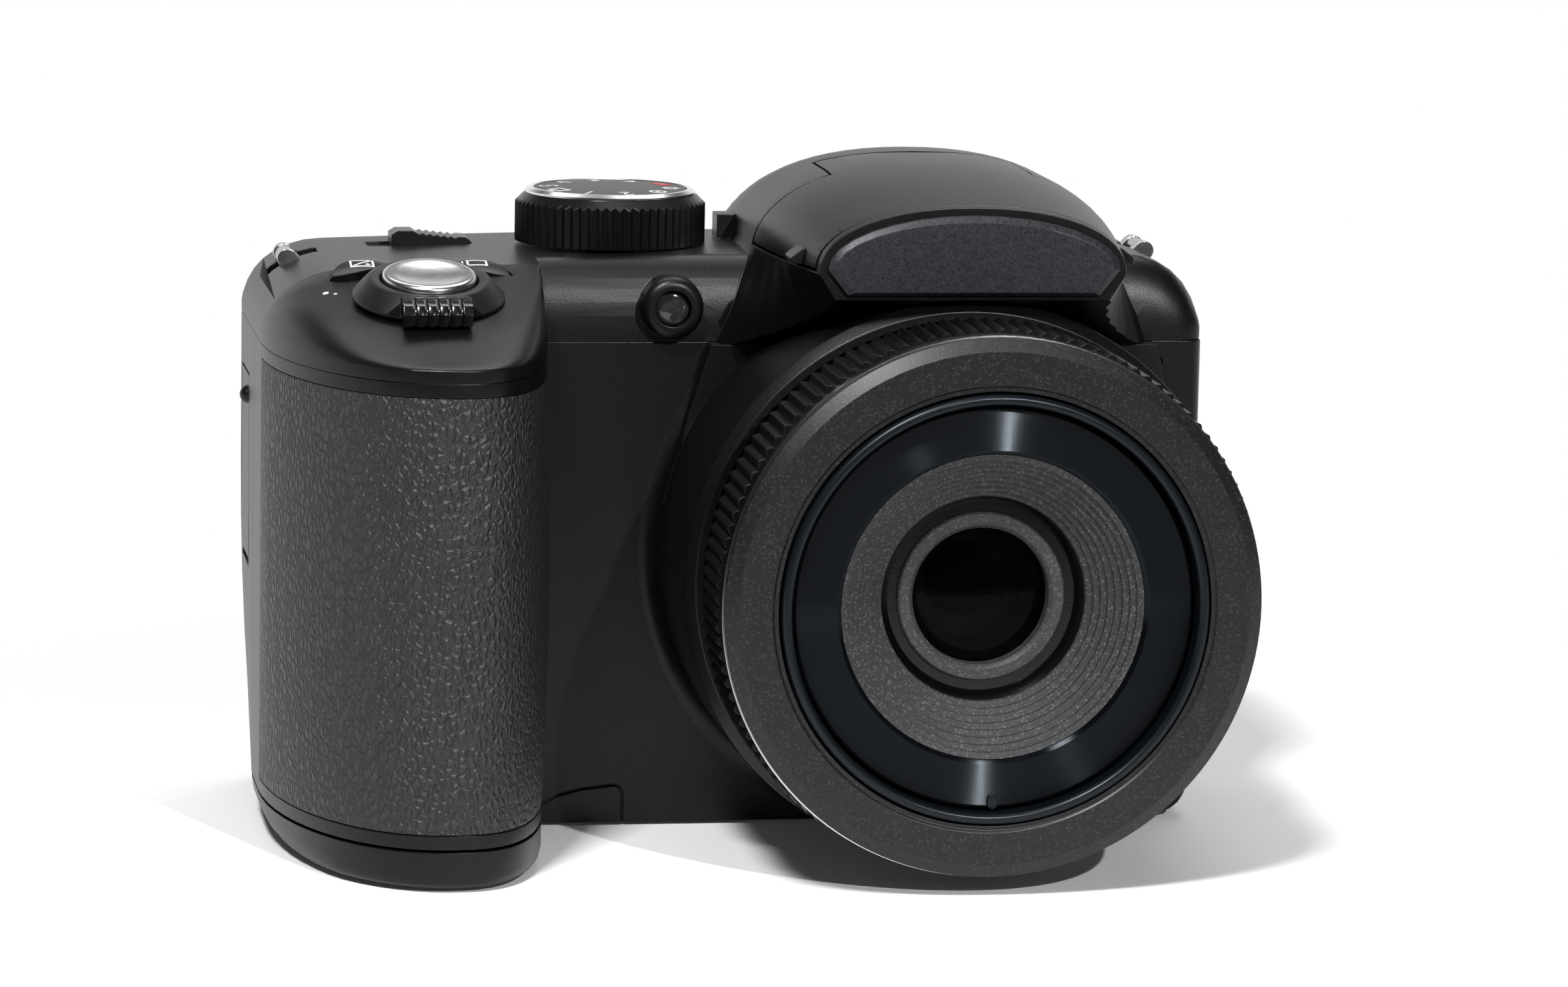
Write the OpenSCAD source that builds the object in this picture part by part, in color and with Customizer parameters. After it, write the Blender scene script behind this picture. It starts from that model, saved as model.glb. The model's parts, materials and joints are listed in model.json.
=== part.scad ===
// A bridge camera: a long zoom lens, a deep hand grip and a hump whose flash lifts.
// Millimetres, +Z up. The origin is the mouth of the tripod socket, under the lens axis.
// The lens looks along -Y and the hand grip is at -X.

/* [Body] */
// Width over the two sides
body_w = 118.4; // [117:0.1:122]
// Lens axis to the side away from the grip
lens_side = 34.8; // [34.6:0.1:36]
// Depth from the flat front to the back
body_d = 35; // [34.5:0.5:39]
// Flat front to the tripod axis
socket_back = 17; // [16.5:0.5:18]
// Depth of the front moulding
front_d = 10; // [9:0.5:11]
// Height of the lens axis
lens_h = 34.5; // [34.4:0.1:36]
// Seam of the top cover over the lens axis
seam_rise = 26.1; // [25.8:0.1:27]
// Deck over the seam, above the lens
deck_rise = 10.7; // [10:0.1:11.5]
// Fall of the deck from the lens to the grip side
deck_fall = 1.7; // [1:0.1:2]
// Wall of the mouldings
wall = 2; // [1.8:0.1:2.2]
// Round along the base and the back
edge_r = 4; // [3:0.5:5]
// Round of the shoulders at each end of the deck
shoulder_r = 9.5; // [8:0.5:11]
// How far the lower grip side is drawn in at the back
side_bow = 2.1; // [0:0.1:2.5]
// Round along the front and the back of the deck
deck_r = 4.5; // [3.5:0.5:6]

/* [Grip] */
// Nose of the grip to the left side
nose_left = 20.1; // [19.8:0.1:21]
// Nose of the grip to its right flank
nose_right = 13.9; // [13.7:0.1:14.6]
// Nose of the grip ahead of the flat front
grip_reach = 37.3; // [36:0.5:41]
// Thickness of the rubber skin
rubber_t = 1; // [0.8:0.1:1.1]
// Wall of the grip under the rubber
core_t = 1.2; // [1:0.1:1.3]
// Bare strip between the rubber and each seam
strip_h = 1.7; // [1.2:0.1:3]
// How far the rubber swells
swell = 0.6; // [0:0.1:1]
// Height of the finger ledge in the rubber
ledge_h = 41; // [34:1:46]
// How far the finger ledge stands out
ledge_out = 0.9; // [0.2:0.1:1.4]

/* [Lens] */
// Front of the lens ring ahead of the flat front
lens_reach = 44.8; // [44:0.1:48]
// Radius of the fixed lens housing
housing_r = 31.7; // [31:0.1:31.8]
// Wall of the round tower on the front shell
tower_t = 2.2; // [1.8:0.1:2.2]
// Tower ahead of the flat front
tower_reach = 25; // [22:0.5:27]
// Height of a knurl tooth over the housing
knurl_t = 1.35; // [1.2:0.05:1.6]
// Length of the knurled ring
knurl_l = 11; // [9:0.5:12]
// Length of the plain band ahead of the knurl
band_l = 2; // [1.5:0.1:2.5]
// Teeth round the knurled ring
knurl_n = 120; // [90:1:120]
// Thickness of the front ring
ring_t = 1.9; // [1.6:0.1:2.6]
// Thickness of the bright trim ring
trim_t = 0.5; // [0.3:0.1:0.8]
// Outer barrel inside the outside of the housing
barrel_in = 5.95; // [5.5:0.05:6.3]
// Wall of the zoom barrels
barrel_t = 1.25; // [1.1:0.05:1.6]
// Outer barrel ahead of the front of the ring
barrel_out = 0.6; // [0:0.1:1]
// Inner barrel behind the front of the outer one
inner_set = 2.2; // [1.5:0.1:3]
// Width of the turned face ring round the baffle
face_w = 5.9; // [5.5:0.1:6.2]
// Depth of the stepped baffle
baffle_d = 8.5; // [8:0.1:9]
// Radius of the baffle's neck, where the steps end
neck_r = 12.5; // [12:0.1:13]
// Depth of the neck
neck_d = 6.9; // [6:0.1:7.2]
// Steps of the baffle
baffle_n = 8; // [5:1:10]
// Radius of the cell that holds the front glass
glass_cell_r = 10.3; // [9.6:0.1:11]
// Radius of the front glass that shows
glass_r = 8.3; // [7.6:0.1:8.6]

/* [Hump and flash] */
// Rise of the hump over the deck
hump_rise = 11.7; // [11:0.1:13]
// Half width of the hump at the deck
hump_w = 22.2; // [21.8:0.1:23.5]
// Half width of the front of the hood
hood_w = 18.8; // [18:0.1:20]
// Front of the hood ahead of the flat front
hood_reach = 26; // [25.5:0.1:28]
// Rise of the hood's front over the deck
hood_rise = 8.9; // [8.4:0.1:9.8]
// Lower edge of the hood's front under the deck
hood_drop = 2.3; // [1.8:0.1:2.4]
// Lower edge of the flash lid over the deck
lid_rise = 1.3; // [1:0.1:1.6]
// Flash hinge behind the flat front
hinge_back = 12; // [11:0.5:13]
// Radius of the hinge barrel of the lid
lid_barrel_r = 4; // [3.5:0.1:4.2]
// Radius of the split between lid and flanks about the hinge
lid_split_r = 10; // [9:0.5:11]
// Half width of the tongue of the lid
tongue_w = 12.6; // [12:0.1:14]
// Half width of the flash lamp
lamp_w = 11; // [9:0.5:11.5]
// Height of the flash lamp
lamp_h = 4.5; // [3.5:0.1:4.8]

/* [Deck controls] */
// Radius of the mode dial
dial_r = 12; // [11:0.1:12.5]
// Height of the mode dial
dial_h = 6.7; // [5:0.1:8]
// Flutes round the dial
dial_n = 63; // [40:1:64]
// Dial's edge from the foot of the hump
dial_gap = 4.1; // [3.5:0.1:5]
// Dial axis behind the flat front
dial_back = 17.4; // [17:0.1:18.5]
// Forward tilt of the shutter button
tilt = 12; // [9:0.5:13]
// Shutter axis ahead of the flat front
shutter_reach = 15; // [14:0.2:16]
// Radius of the shutter button
shutter_r = 5.7; // [5.2:0.1:6]
// Travel of the shutter button
shutter_travel = 1.2; // [0.8:0.1:1.4]
// Radius of the foot of the zoom lever
lever_r = 9.2; // [8.8:0.1:9.6]
// Height of the zoom lever
lever_h = 2.9; // [2.4:0.1:3.4]
// Width of the ribbed tab of the zoom lever
tab_w = 8.3; // [7:0.1:8.6]
// Length of the power slider
slider_l = 9.9; // [9:0.1:11]
// Travel of the power slider
slider_travel = 2.6; // [1.6:0.1:3]
// Shutter axis to the eye-shaped buttons
eye_out = 13; // [12.8:0.1:13.6]
// Travel of the small buttons
press = 0.7; // [0.4:0.1:0.8]

/* [Back] */
// Screen window to the side away from the grip
screen_side = 4.8; // [4.4:0.1:6]
// Screen window to the line of the grip's flank, where the keys are
screen_keys = 9.6; // [9.2:0.1:11]
// Screen window under the seam
screen_drop = 3.6; // [3.2:0.1:5]
// Radius of the four-way pad
pad_r = 10.2; // [9.5:0.1:10.6]
// Radius of the middle button
ok_r = 4.4; // [4:0.1:5]
// Radius of the small round buttons
key_r = 3.1; // [2.6:0.1:3.3]
// How far the buttons stand out
key_proud = 0.9; // [0.8:0.1:1.2]

/* [Power] */
// Radius of a cell
cell_r = 7.25; // [7.1:0.01:7.25]
// Length of a cell
cell_l = 50.5; // [49.5:0.1:50.5]
// Height of the battery door cap
cap_h = 4.6; // [4.2:0.1:5]
// Radius of the door's hinge
door_barrel_r = 2.1; // [2:0.1:2.3]
// Grip's right flank to the door's hinge
door_hinge = 9.5; // [9:0.1:10]
// Rear edge of the door behind the tripod axis
door_back = 10; // [9.8:0.1:10.5]
// Radius of the door's pin
door_pin_r = 0.8; // [0.6:0.05:0.9]

/* [Mounts] */
// Radius of the tripod thread's wall
socket_r = 3.2; // [3.175:0.005:3.3]
// Depth of the tripod thread
socket_d = 5.5; // [4.5:0.1:6]
// Radius of a strap bar
bar_r = 1.1; // [0.9:0.05:1.15]
// Length of a strap bar between its tabs
bar_l = 4.4; // [4:0.1:5]

/* [Fits] */
// Gap between pieces that move past each other
gap = 0.3; // [0.25:0.01:0.35]
// Radial play of a shaft in its bore
run = 0.05; // [0.03:0.01:0.08]
// Gap between pieces that are fixed together
seat = 0.05; // [0.02:0.01:0.1]

/* [Hidden] */
$fn = 72;

// Colours of the finishes
black = "#1b1c1e";
rubber = "#222326";
dark = "#101113";
steel = "#b9bcc0";
brass = "#b08d3c";
board = "#1f5a3a";

// Planes of the body
seam_h = lens_h + seam_rise;
deck_h = seam_h + deck_rise;
hump_h = deck_h + hump_rise;
hood_h = deck_h + hood_rise;
hood_low = deck_h - hood_drop;
lid_low = deck_h + lid_rise;
right_x = lens_side;
left_x = lens_side - body_w;
face_y = -socket_back;
seam_y = face_y + front_d;
back_y = face_y + body_d;
skin = rubber_t + core_t;

// Plan of the grip
nose_x = left_x + nose_left;
flank_x = nose_x + nose_right;
nose_n = 28;
left_power = 2;
right_power = 2.6;
strip_low = cap_h + gap + strip_h;
strip_top = seam_h - strip_h;
rubber_end = 2.6;

// Stations along the lens axis, counted forward from the tripod axis
face_f = socket_back;
ring_f = face_f + lens_reach;
ring_back_f = ring_f - ring_t;
trim_back_f = ring_back_f - trim_t;
band_back_f = trim_back_f - band_l;
knurl_back_f = band_back_f - knurl_l;
tower_f = face_f + tower_reach;
housing_back_f = 7.5;
barrel_r = housing_r - barrel_in;
housing_bore = barrel_r + 1;
tower_bore = housing_r + gap;
tower_r = tower_bore + tower_t;
barrel_f = ring_f + barrel_out;
barrel_back_f = 24;
inner_r = barrel_r - barrel_t - gap;
baffle_r = inner_r - face_w;
inner_f = barrel_f - inner_set;
inner_back_f = 26;
face_ring_t = 1.2;
inner_body_f = inner_f - face_ring_t;
baffle_back_f = inner_f - baffle_d;
glass_back_f = baffle_back_f - 6;
retainer_t = 1.7;

// The hump, from the front of the hood to the back
spring_z = deck_h + 0.8;
hood_y = face_y - hood_reach;
hump_rear_y = back_y - 4;
hump_crown_y = face_y + 9;
hump_fall_y = face_y + 19;
flank_foot = 27.7;
hood_foot = 11.4;
hump_n = 30;
hump_power = 2.2;
pivot_y = face_y + hinge_back;
pivot_z = hump_top(pivot_y) - lid_barrel_r;
lid_y = hood_y + 1.7;
window_t = 1.1;
window_back = lid_y + 1.65;
notch_y = face_y - 3;

// The deck round the shutter button
shutter_x = nose_x - 1.1;
shutter_y = face_y - shutter_reach;
slope_y = face_y - 3;
shutter_z = deck_at(shutter_x, shutter_y);
dial_x = hump_w + dial_gap + dial_r;
dial_z = deck_top(-dial_x);
hub_r = 7;
hub_low = 4.4;
eye_angle = 57.5;
eye_low = 4;
eye_bow = 6.3;
eye_set = 4.2;
slider_x = -dial_x - dial_r - 10.4;
slider_z = deck_top(slider_x);
slider_y = face_y + 22;
slider_w = 4.6;
slider_pocket = 0.6;
foot_l = 7;
foot_w = 4;

// Inside
board_t = 1.2;
cradle_t = 1.2;
cell_pitch = 2 * cell_r + 0.1;
cell_x = left_x + skin + cell_r + 0.15;
cell_y = face_y - 2.5;
cell_z = cap_h + 0.3;
cell_top = cell_z + cell_l;
contact_t = 0.5;
cradle_z = cell_top + contact_t + 0.5;
top_board_z = cradle_z + cradle_t + gap;
lcd_t = 4.4;
lcd_y = back_y - wall - 0.1 - lcd_t;
main_y = lcd_y - gap - board_t;
door_axis_x = flank_x + door_hinge;
door_axis_z = door_barrel_r;
door_x = door_axis_x + door_barrel_r;
plate_t = 1.8;
lip_low = plate_t + 0.2;
key_collar = 0.8;
key_flange = 1.2;

// Points of an arc about a centre
function arc(c, r, a0, a1, n) =
  [for (k = [0 : n]) let (a = a0 + (a1 - a0) * k / n) [c[0] + r * cos(a), c[1] + r * sin(a)]];

// A list turned round
function turned(list) = [for (k = [len(list) - 1 : -1 : 0]) list[k]];

// A value between two others
function mix(a, b, t) = a + (b - a) * t;

// A value held between 0 and 1
function held(t) = max(0, min(1, t));

// Plan of the grip's nose, drawn in by i, from the left side round to the right flank
function nose_point(i, t) =
  let (n = t < 90 ? left_power : right_power,
       a = t < 90 ? -(nose_left - i) : nose_right - i)
  [nose_x + a * pow(abs(cos(t)), 2 / n), face_y - (grip_reach - i) * pow(sin(t), 2 / n)];
function nose(i, trim = 0) =
  [for (k = [0 : nose_n]) nose_point(i, trim + (180 - 2 * trim) * k / nose_n)];

// Front edge of the plan at x
function front_at(x, i = 0) =
  let (side = held((right_x - i - x) / edge_r),
       corner = edge_r * (1 - sqrt(max(0, 1 - pow(1 - side, 2)))) * 0.6,
       u = x < nose_x ? (nose_x - x) / (nose_left - i) : (x - nose_x) / (nose_right - i),
       n = x < nose_x ? left_power : right_power)
  u < 1 ? face_y + i * 0 - (grip_reach - i) * pow(1 - pow(u, n), 1 / n) : face_y + i + corner;

// Back edge of the plan at x
function back_at(x, i = 0) =
  let (d = held(min(x - left_x - i, right_x - i - x) / edge_r))
  back_y - i - edge_r * (1 - sqrt(max(0, 1 - pow(1 - d, 2))));

// Height of the deck along the body, and with its fall to the front of the grip
function deck_top(x) = deck_h - deck_fall * pow(x / (body_w - lens_side), 2);
function deck_at(x, y) = deck_top(x) + min(0, (y - slope_y) * tan(tilt));

// How far the shoulders let the deck rise at x
function shoulder_at(x, i = 0) =
  let (d = held(min(x - left_x - i, right_x - i - x) / shoulder_r))
  sqrt(max(0, 1 - pow(1 - d, 2)));

// One section of the deck across the body at x, drawn in by i
rim_h = 1.5;
function deck_z(x, y, i) =
  seam_h + rim_h + (deck_at(x, y) - i - seam_h - rim_h) * shoulder_at(x, i);
function deck_section(x, i, low) =
  let (yf = front_at(x, i),
       yb = back_at(x, i),
       round_f = min(deck_r + 9 * held((face_y - yf) / grip_reach), (yb - yf) * 0.4),
       y0 = yf + round_f,
       y1 = yb - deck_r,
       ym = max(slope_y, y0 + 0.4))
  concat(
    [[yf, low], [yb, low]],
    [for (k = [0 : 7]) let (a = 90 * k / 7, y = yb - deck_r * (1 - cos(a)))
      [y, seam_h + rim_h + (deck_z(x, y, i) - seam_h - rim_h) * sin(a)]],
    [for (t = [0.33, 0.67, 1]) let (y = mix(y1, ym, t)) [y, deck_z(x, y, i)]],
    [for (t = [0.35, 0.7]) let (y = mix(ym, y0, t)) [y, deck_z(x, y, i)]],
    [for (k = [8 : -1 : 0]) let (a = 90 * k / 8, y = yf + round_f * (1 - cos(a)))
      [y, seam_h + rim_h + (deck_z(x, y, i) - seam_h - rim_h) * sin(a)]]);
function deck_stations(i) = concat(
  [for (k = [0 : 12]) nose_x - (nose_left - i) * cos(90 * k / 12)],
  [for (k = [1 : 10]) nose_x + (nose_right - i) * sin(90 * k / 10)],
  [for (t = [0.03, 0.2, 0.4, 0.6, 0.8, 1]) mix(flank_x - i, right_x - shoulder_r, t)],
  [for (k = [1 : 7]) right_x - shoulder_r + (shoulder_r - i) * sin(90 * k / 7)]);
function deck_rings(i, low) =
  [for (x = deck_stations(i)) [for (p = deck_section(x, i, low)) [x, p[0], p[1]]]];

// Height and half widths of the hump at y
function hump_top(y) =
  y < hump_crown_y ? mix(hood_h, hump_h, sin(90 * held((y - hood_y) / (hump_crown_y - hood_y))))
  : y < hump_fall_y ? hump_h
  : spring_z + 0.6 + (hump_h - spring_z - 0.6)
    * sqrt(max(0, 1 - pow((y - hump_fall_y) / (hump_rear_y - hump_fall_y), 2)));
function hump_half(y) = mix(hood_w, hump_w, sin(90 * held((y - hood_y) / (hood_reach + 6))));
function bent(c) = sign(c) * pow(abs(c), 2 / hump_power);
function hump_foot(y) = mix(hood_foot, flank_foot, held((y - hood_y) / hood_reach));
function hump_ring(y) = concat(
  [[-hump_foot(y), y, seam_h]],
  [for (k = [0 : hump_n]) let (a = 180 - 180 * k / hump_n)
    [hump_half(y) * bent(cos(a)), y, spring_z + (hump_top(y) - spring_z) * bent(sin(a))]],
  [[hump_foot(y), y, seam_h]]);
function hump_rings() = concat(
  [for (k = [0 : 9]) hump_ring(mix(hood_y, hump_crown_y, k / 9))],
  [for (k = [0 : 8]) hump_ring(hump_fall_y + (hump_rear_y - hump_fall_y) * sin(90 * k / 8))]);

// Outline of the back moulding, drawn in by i, open at the seam
side_mid = lens_h + 7.5;
function side_in(z) = side_bow * pow(max(0, side_mid - z) / side_mid, 2);
function pan_outline(i, top, bow) =
  let (r = edge_r + 1 - i,
       side = concat(arc([left_x + i + r, i + r], r, -90, -180, 6),
         [for (k = [1 : 5]) [left_x + i, mix(i + r, side_mid, k / 5)]], [[left_x + i, top]]))
  concat([[right_x - i, top]],
    arc([right_x - i - r, i + r], r, 0, -90, 6),
    [for (p = side) [p[0] + bow * side_in(p[1]), p[1]]]);
function pan_rings(i, y0, y1, r, top) = concat(
  [[for (p = pan_outline(i, top, 0)) [p[0], y0, p[1]]]],
  [for (k = [0 : 6]) let (a = 90 * k / 6)
    [for (p = pan_outline(i + r * (1 - cos(a)), top, 1)) [p[0], y1 - r + r * sin(a), p[1]]]]);

// Plan of the battery door's cap, drawn in by i
cap_r = 1.6;
cap_end_r = edge_r + 0.5;
function cap_plan(z) =
  let (in_end = cap_inset(z, cap_end_r),
       bow = side_in(z) * (door_back - gap - seam_y) / (back_y - edge_r - seam_y))
  concat(
    [[flank_x, door_back - gap], [left_x + in_end + bow, door_back - gap], [left_x + in_end, seam_y]],
    [for (k = [0 : nose_n]) let (t = 180 * k / nose_n)
      nose_point(mix(in_end, cap_inset(z, cap_r), held(t / 50)), t)]);
function cap_inset(z, r) = r - sqrt(max(0, r * r - pow(r - min(z, r), 2)));

// A solid through a row of rings with equal counts of points
module loft(rings) {
  n = len(rings[0]);
  m = len(rings);
  polyhedron(
    points = [for (r = rings) for (p = r) p],
    faces = concat(
      [[for (i = [0 : n - 1]) i]],
      [[for (i = [0 : n - 1]) (m - 1) * n + (n - i) % n]],
      [for (j = [0 : m - 2]) for (i = [0 : n - 1])
        let (a = j * n + i, b = j * n + (i + 1) % n) [a, a + n, b + n]],
      [for (j = [0 : m - 2]) for (i = [0 : n - 1])
        let (a = j * n + i, b = j * n + (i + 1) % n) [a, b + n, b]]));
}

// A box between two corners
module box(lo, hi) translate(lo) cube(hi - lo);

// A drawing in X and Z, made solid from y0 to y1
module along_y(y0, y1) translate([0, y1, 0]) rotate([90, 0, 0]) linear_extrude(y1 - y0) children();

// A drawing in Y and Z, made solid from x0 to x1
module along_x(x0, x1) translate([x0, 0, 0]) rotate([90, 0, 90]) linear_extrude(x1 - x0) children();

// A round rod along Y or along X
module rod_y(x, z, r, y0, y1) translate([x, y1, z]) rotate([90, 0, 0]) cylinder(r = r, h = y1 - y0);
module rod_x(y, z, r, x0, x1) translate([x0, y, z]) rotate([0, 90, 0]) cylinder(r = r, h = x1 - x0);

// The lens axis, with Z forward, and rings and turned shapes on it
module on_axis(f = 0) translate([0, -f, lens_h]) rotate([90, 0, 0]) children();
module lens_ring(r0, r1, f0, f1) on_axis() rotate_extrude() translate([r0, f0]) square([r1 - r0, f1 - f0]);
module lens_turned() on_axis() rotate_extrude() children();
module lens_rod(r, f0, f1) on_axis(f0) cylinder(r = r, h = f1 - f0);

// The tilted seat of the shutter button
module shutter_seat() translate([shutter_x, shutter_y, shutter_z]) rotate([tilt, 0, 0]) children();

// The space under the hood, ahead of the notch line in the seam
module hood_space() {
  along_x(-40, 40) polygon([[notch_y, seam_h], [hood_y, hood_low], [hood_y - 9, hood_low + 3.4],
    [hood_y - 9, seam_h - 20], [notch_y + 1, seam_h - 20], [notch_y + 1, seam_h - 9], [notch_y, seam_h]]);
}

// Room for the tongue and the hinge of the battery door, grown by o
function lip_outline(o) = concat(
  [[flank_x - 2, -1], [flank_x - 2, lip_low + o], [flank_x, lip_low + o]],
  arc([door_axis_x, door_axis_z], door_barrel_r + o, 140, 0, 10),
  [[door_x + o, -1]]);

// Line of the hinge cover on the flat front, grown by o
cover_x = door_x + 0.1;
cover_top = 4.9;
cover_r = 1.3;
function cover_line(o) = concat(
  [[flank_x - 1, -1], [flank_x - 1, cover_top - 3.6 + o], [flank_x + 1, cover_top - 2.6 + o],
   [flank_x + 3.6, cover_top - 1.2 + o], [flank_x + 6.5, cover_top - 0.45 + o]],
  arc([cover_x - cover_r, cover_top - cover_r], cover_r + o, 84, 0, 6),
  [[cover_x + o, -1]]);

// Ear that carries the door's pin, from y0 to y1
module door_ear(y0, y1) {
  difference() {
    union() {
      rod_y(door_axis_x, door_axis_z, door_barrel_r - 0.2, y0, y1);
      box([door_axis_x, y0, 0.3], [door_x + gap + wall, y1, 2 * door_axis_z - 0.4]);
    }
    rod_y(door_axis_x, door_axis_z, door_pin_r + run, y0 - 1, y1 + 1);
  }
}
ear_front = [seam_y - 2.6, seam_y - 0.1];
ear_rear = [door_back - 6, door_back - 3.5];

// Front moulding: flat front, base, side and the round tower of the lens
module front_shell() {
  color(black) {
    difference() {
      union() {
        difference() {
          intersection() {
            along_y(face_y, seam_y) polygon(concat(
              [[flank_x, 0], [flank_x, seam_h], [right_x, seam_h]],
              arc([right_x - edge_r - 1, edge_r + 1], edge_r + 1, 0, -90, 6)));
            linear_extrude(seam_h) polygon(concat(
              [[flank_x, seam_y], [flank_x, face_y]],
              arc([right_x - edge_r / 2, face_y + edge_r / 2], edge_r / 2, -90, 0, 6),
              [[right_x, seam_y]]));
          }
          box([flank_x - 1, face_y + wall, wall], [right_x - wall, seam_y + 1, seam_h + 1]);
          along_y(face_y + wall, seam_y + 1) polygon(lip_outline(gap));
        }
        front_tower();
        front_flanks();
      }
      lens_rod(tower_bore, -seam_y - 1, tower_f + 1);
      rod_y(right_x - 5.8, seam_h - 2.6, 0.6, face_y - 1, face_y + wall + 1);
      hood_space();
      box([flank_x - 1, face_y - 1, -1], [flank_x + door_free, face_y + wall + gap, cap_h + gap]);
      along_y(face_y - 1, face_y + line_d) difference() {
        polygon(cover_line(0));
        polygon(cover_line(-line_w));
      }
    }
    front_tower_ring();
    door_ear(ear_front[0], ear_front[1]);
  }
}
// The foot of the tower runs out into the flat front in a cove
cove_r = 2.4;
// Room that the edge of the battery cap needs as it starts to swing
door_free = 0.55;
// Width and depth of the fine lines in the mouldings
line_w = 0.3;
line_d = 0.4;
module front_tower() {
  intersection() {
    lens_turned() polygon(concat(
      [[tower_bore - 1, face_f - 1], [tower_r + cove_r, face_f - 1], [tower_r + cove_r, face_f]],
      arc([tower_r + cove_r, face_f + cove_r], cove_r, -90, -180, 6),
      [[tower_r, tower_f - 1.2], [tower_r - 1.2, tower_f], [tower_bore - 1, tower_f]]));
    along_y(-tower_f - 1, face_y + wall) polygon(concat(
      [[flank_x, 0.2], [flank_x, seam_h], [right_x - 0.2, seam_h]],
      arc([right_x - edge_r - 1, edge_r + 1], edge_r + 0.8, 0, -90, 6)));
  }
}
module front_tower_ring() {
  lens_turned() polygon([[tower_bore, face_f + 0.6], [tower_r, face_f + 0.6],
    [tower_r, tower_f - 1.2], [tower_r - 1.2, tower_f], [tower_bore, tower_f]]);
}
// Straight flanks that leave the tower and climb to the hump
flank_top = mix(33.3, 24.3, (seam_h - lens_h - 8.5) / (spring_z + 2 - lens_h - 8.5));
module front_flanks() {
  along_y(-tower_f, face_y + wall) polygon([[-33.3, lens_h + 8.5], [-flank_top, seam_h],
    [flank_top, seam_h], [33.3, lens_h + 8.5]]);
}

// Grip moulding: a hollow nose with a bed for the rubber
module grip_shell() {
  color(black) difference() {
    translate([0, 0, cap_h + gap]) linear_extrude(seam_h - cap_h - gap) polygon(concat(
      [[left_x, seam_y]], nose(0), [[flank_x, face_y + wall], [flank_x - skin, face_y + wall]],
      turned(nose(skin)), [[left_x + skin, seam_y]]));
    translate([0, 0, strip_low]) linear_extrude(strip_top - strip_low) polygon(concat(
      nose(-1, rubber_end), turned(nose(rubber_t, rubber_end))));
  }
}

// Rubber skin, swelling a little, with a ledge for the middle finger
rubber_levels = concat([strip_low + seat, strip_low + 2, strip_low + 9, strip_low + 18, strip_low + 27],
  [ledge_h - 1.4, ledge_h, ledge_h + 2.5, ledge_h + 6, ledge_h + 10, strip_top - 2, strip_top - seat]);
function rubber_out(z, t) =
  let (u = (z - strip_low) / (strip_top - strip_low),
       ledge = held(min((z - ledge_h + 1.4) / 1.4, (ledge_h + 11 - z) / 11)),
       ends = held(min(t - rubber_end, 180 - rubber_end - t) / 12))
  ends * (swell * pow(sin(180 * held(u)), 0.7) + ledge_out * ledge * exp(-pow((t - 92) / 26, 2)));
module grip_rubber() {
  color(rubber) band([for (z = rubber_levels) [for (k = [0 : nose_n])
      let (t = rubber_end + 0.4 + (179.2 - 2 * rubber_end) * k / nose_n)
      concat(nose_point(-rubber_out(z, t), t), z)]],
    [for (z = rubber_levels) [for (k = [0 : nose_n])
      let (t = rubber_end + 0.4 + (179.2 - 2 * rubber_end) * k / nose_n)
      concat(nose_point(rubber_t - seat, t), z)]]);
}
// An open band between an outer and an inner sheet, each a row of levels
module band(outer, inner) {
  n = len(outer[0]);
  m = len(outer);
  half = n * m;
  polyhedron(
    points = concat([for (r = outer) for (p = r) p], [for (r = inner) for (p = r) p]),
    faces = concat(
      [for (j = [0 : m - 2]) for (i = [0 : n - 2]) let (a = j * n + i) each
        [[a, a + n, a + n + 1], [a, a + n + 1, a + 1],
         [half + a, half + a + n + 1, half + a + n], [half + a, half + a + 1, half + a + n + 1]]],
      [for (i = [0 : n - 2]) let (b = (m - 1) * n + i) each
        [[i, i + 1, half + i + 1], [i, half + i + 1, half + i],
         [b, half + b + 1, b + 1], [b, half + b, half + b + 1]]],
      [for (j = [0 : m - 2]) let (a = j * n, b = j * n + n - 1) each
        [[a, half + a, half + a + n], [a, half + a + n, a + n],
         [b, half + b + n, half + b], [b, b + n, half + b + n]]]));
}

// Places of the round keys on the back: x and z
pad_at = [nose_x + 1.5, 24];
menu_at = [flank_x + 1, seam_h - 22.6];
play_at = [nose_x - 12, seam_h - 22.6];
delete_at = [flank_x + 1, 10];
record_at = [flank_x - 0.9, seam_h - 9.1];
thumb = [[left_x + 3.5, seam_h - 17.6], [nose_x + 5.5, seam_h - 2.5]];
cover = [[0.6, 11.6], [seam_h - 30.6, seam_h - 6.6]];
screw_at = [[right_x - 8.8, 8], [door_x + 12, 8]];
screen = [[flank_x + screen_keys, edge_r + 1], [right_x - screen_side, seam_h - screen_drop]];

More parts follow.
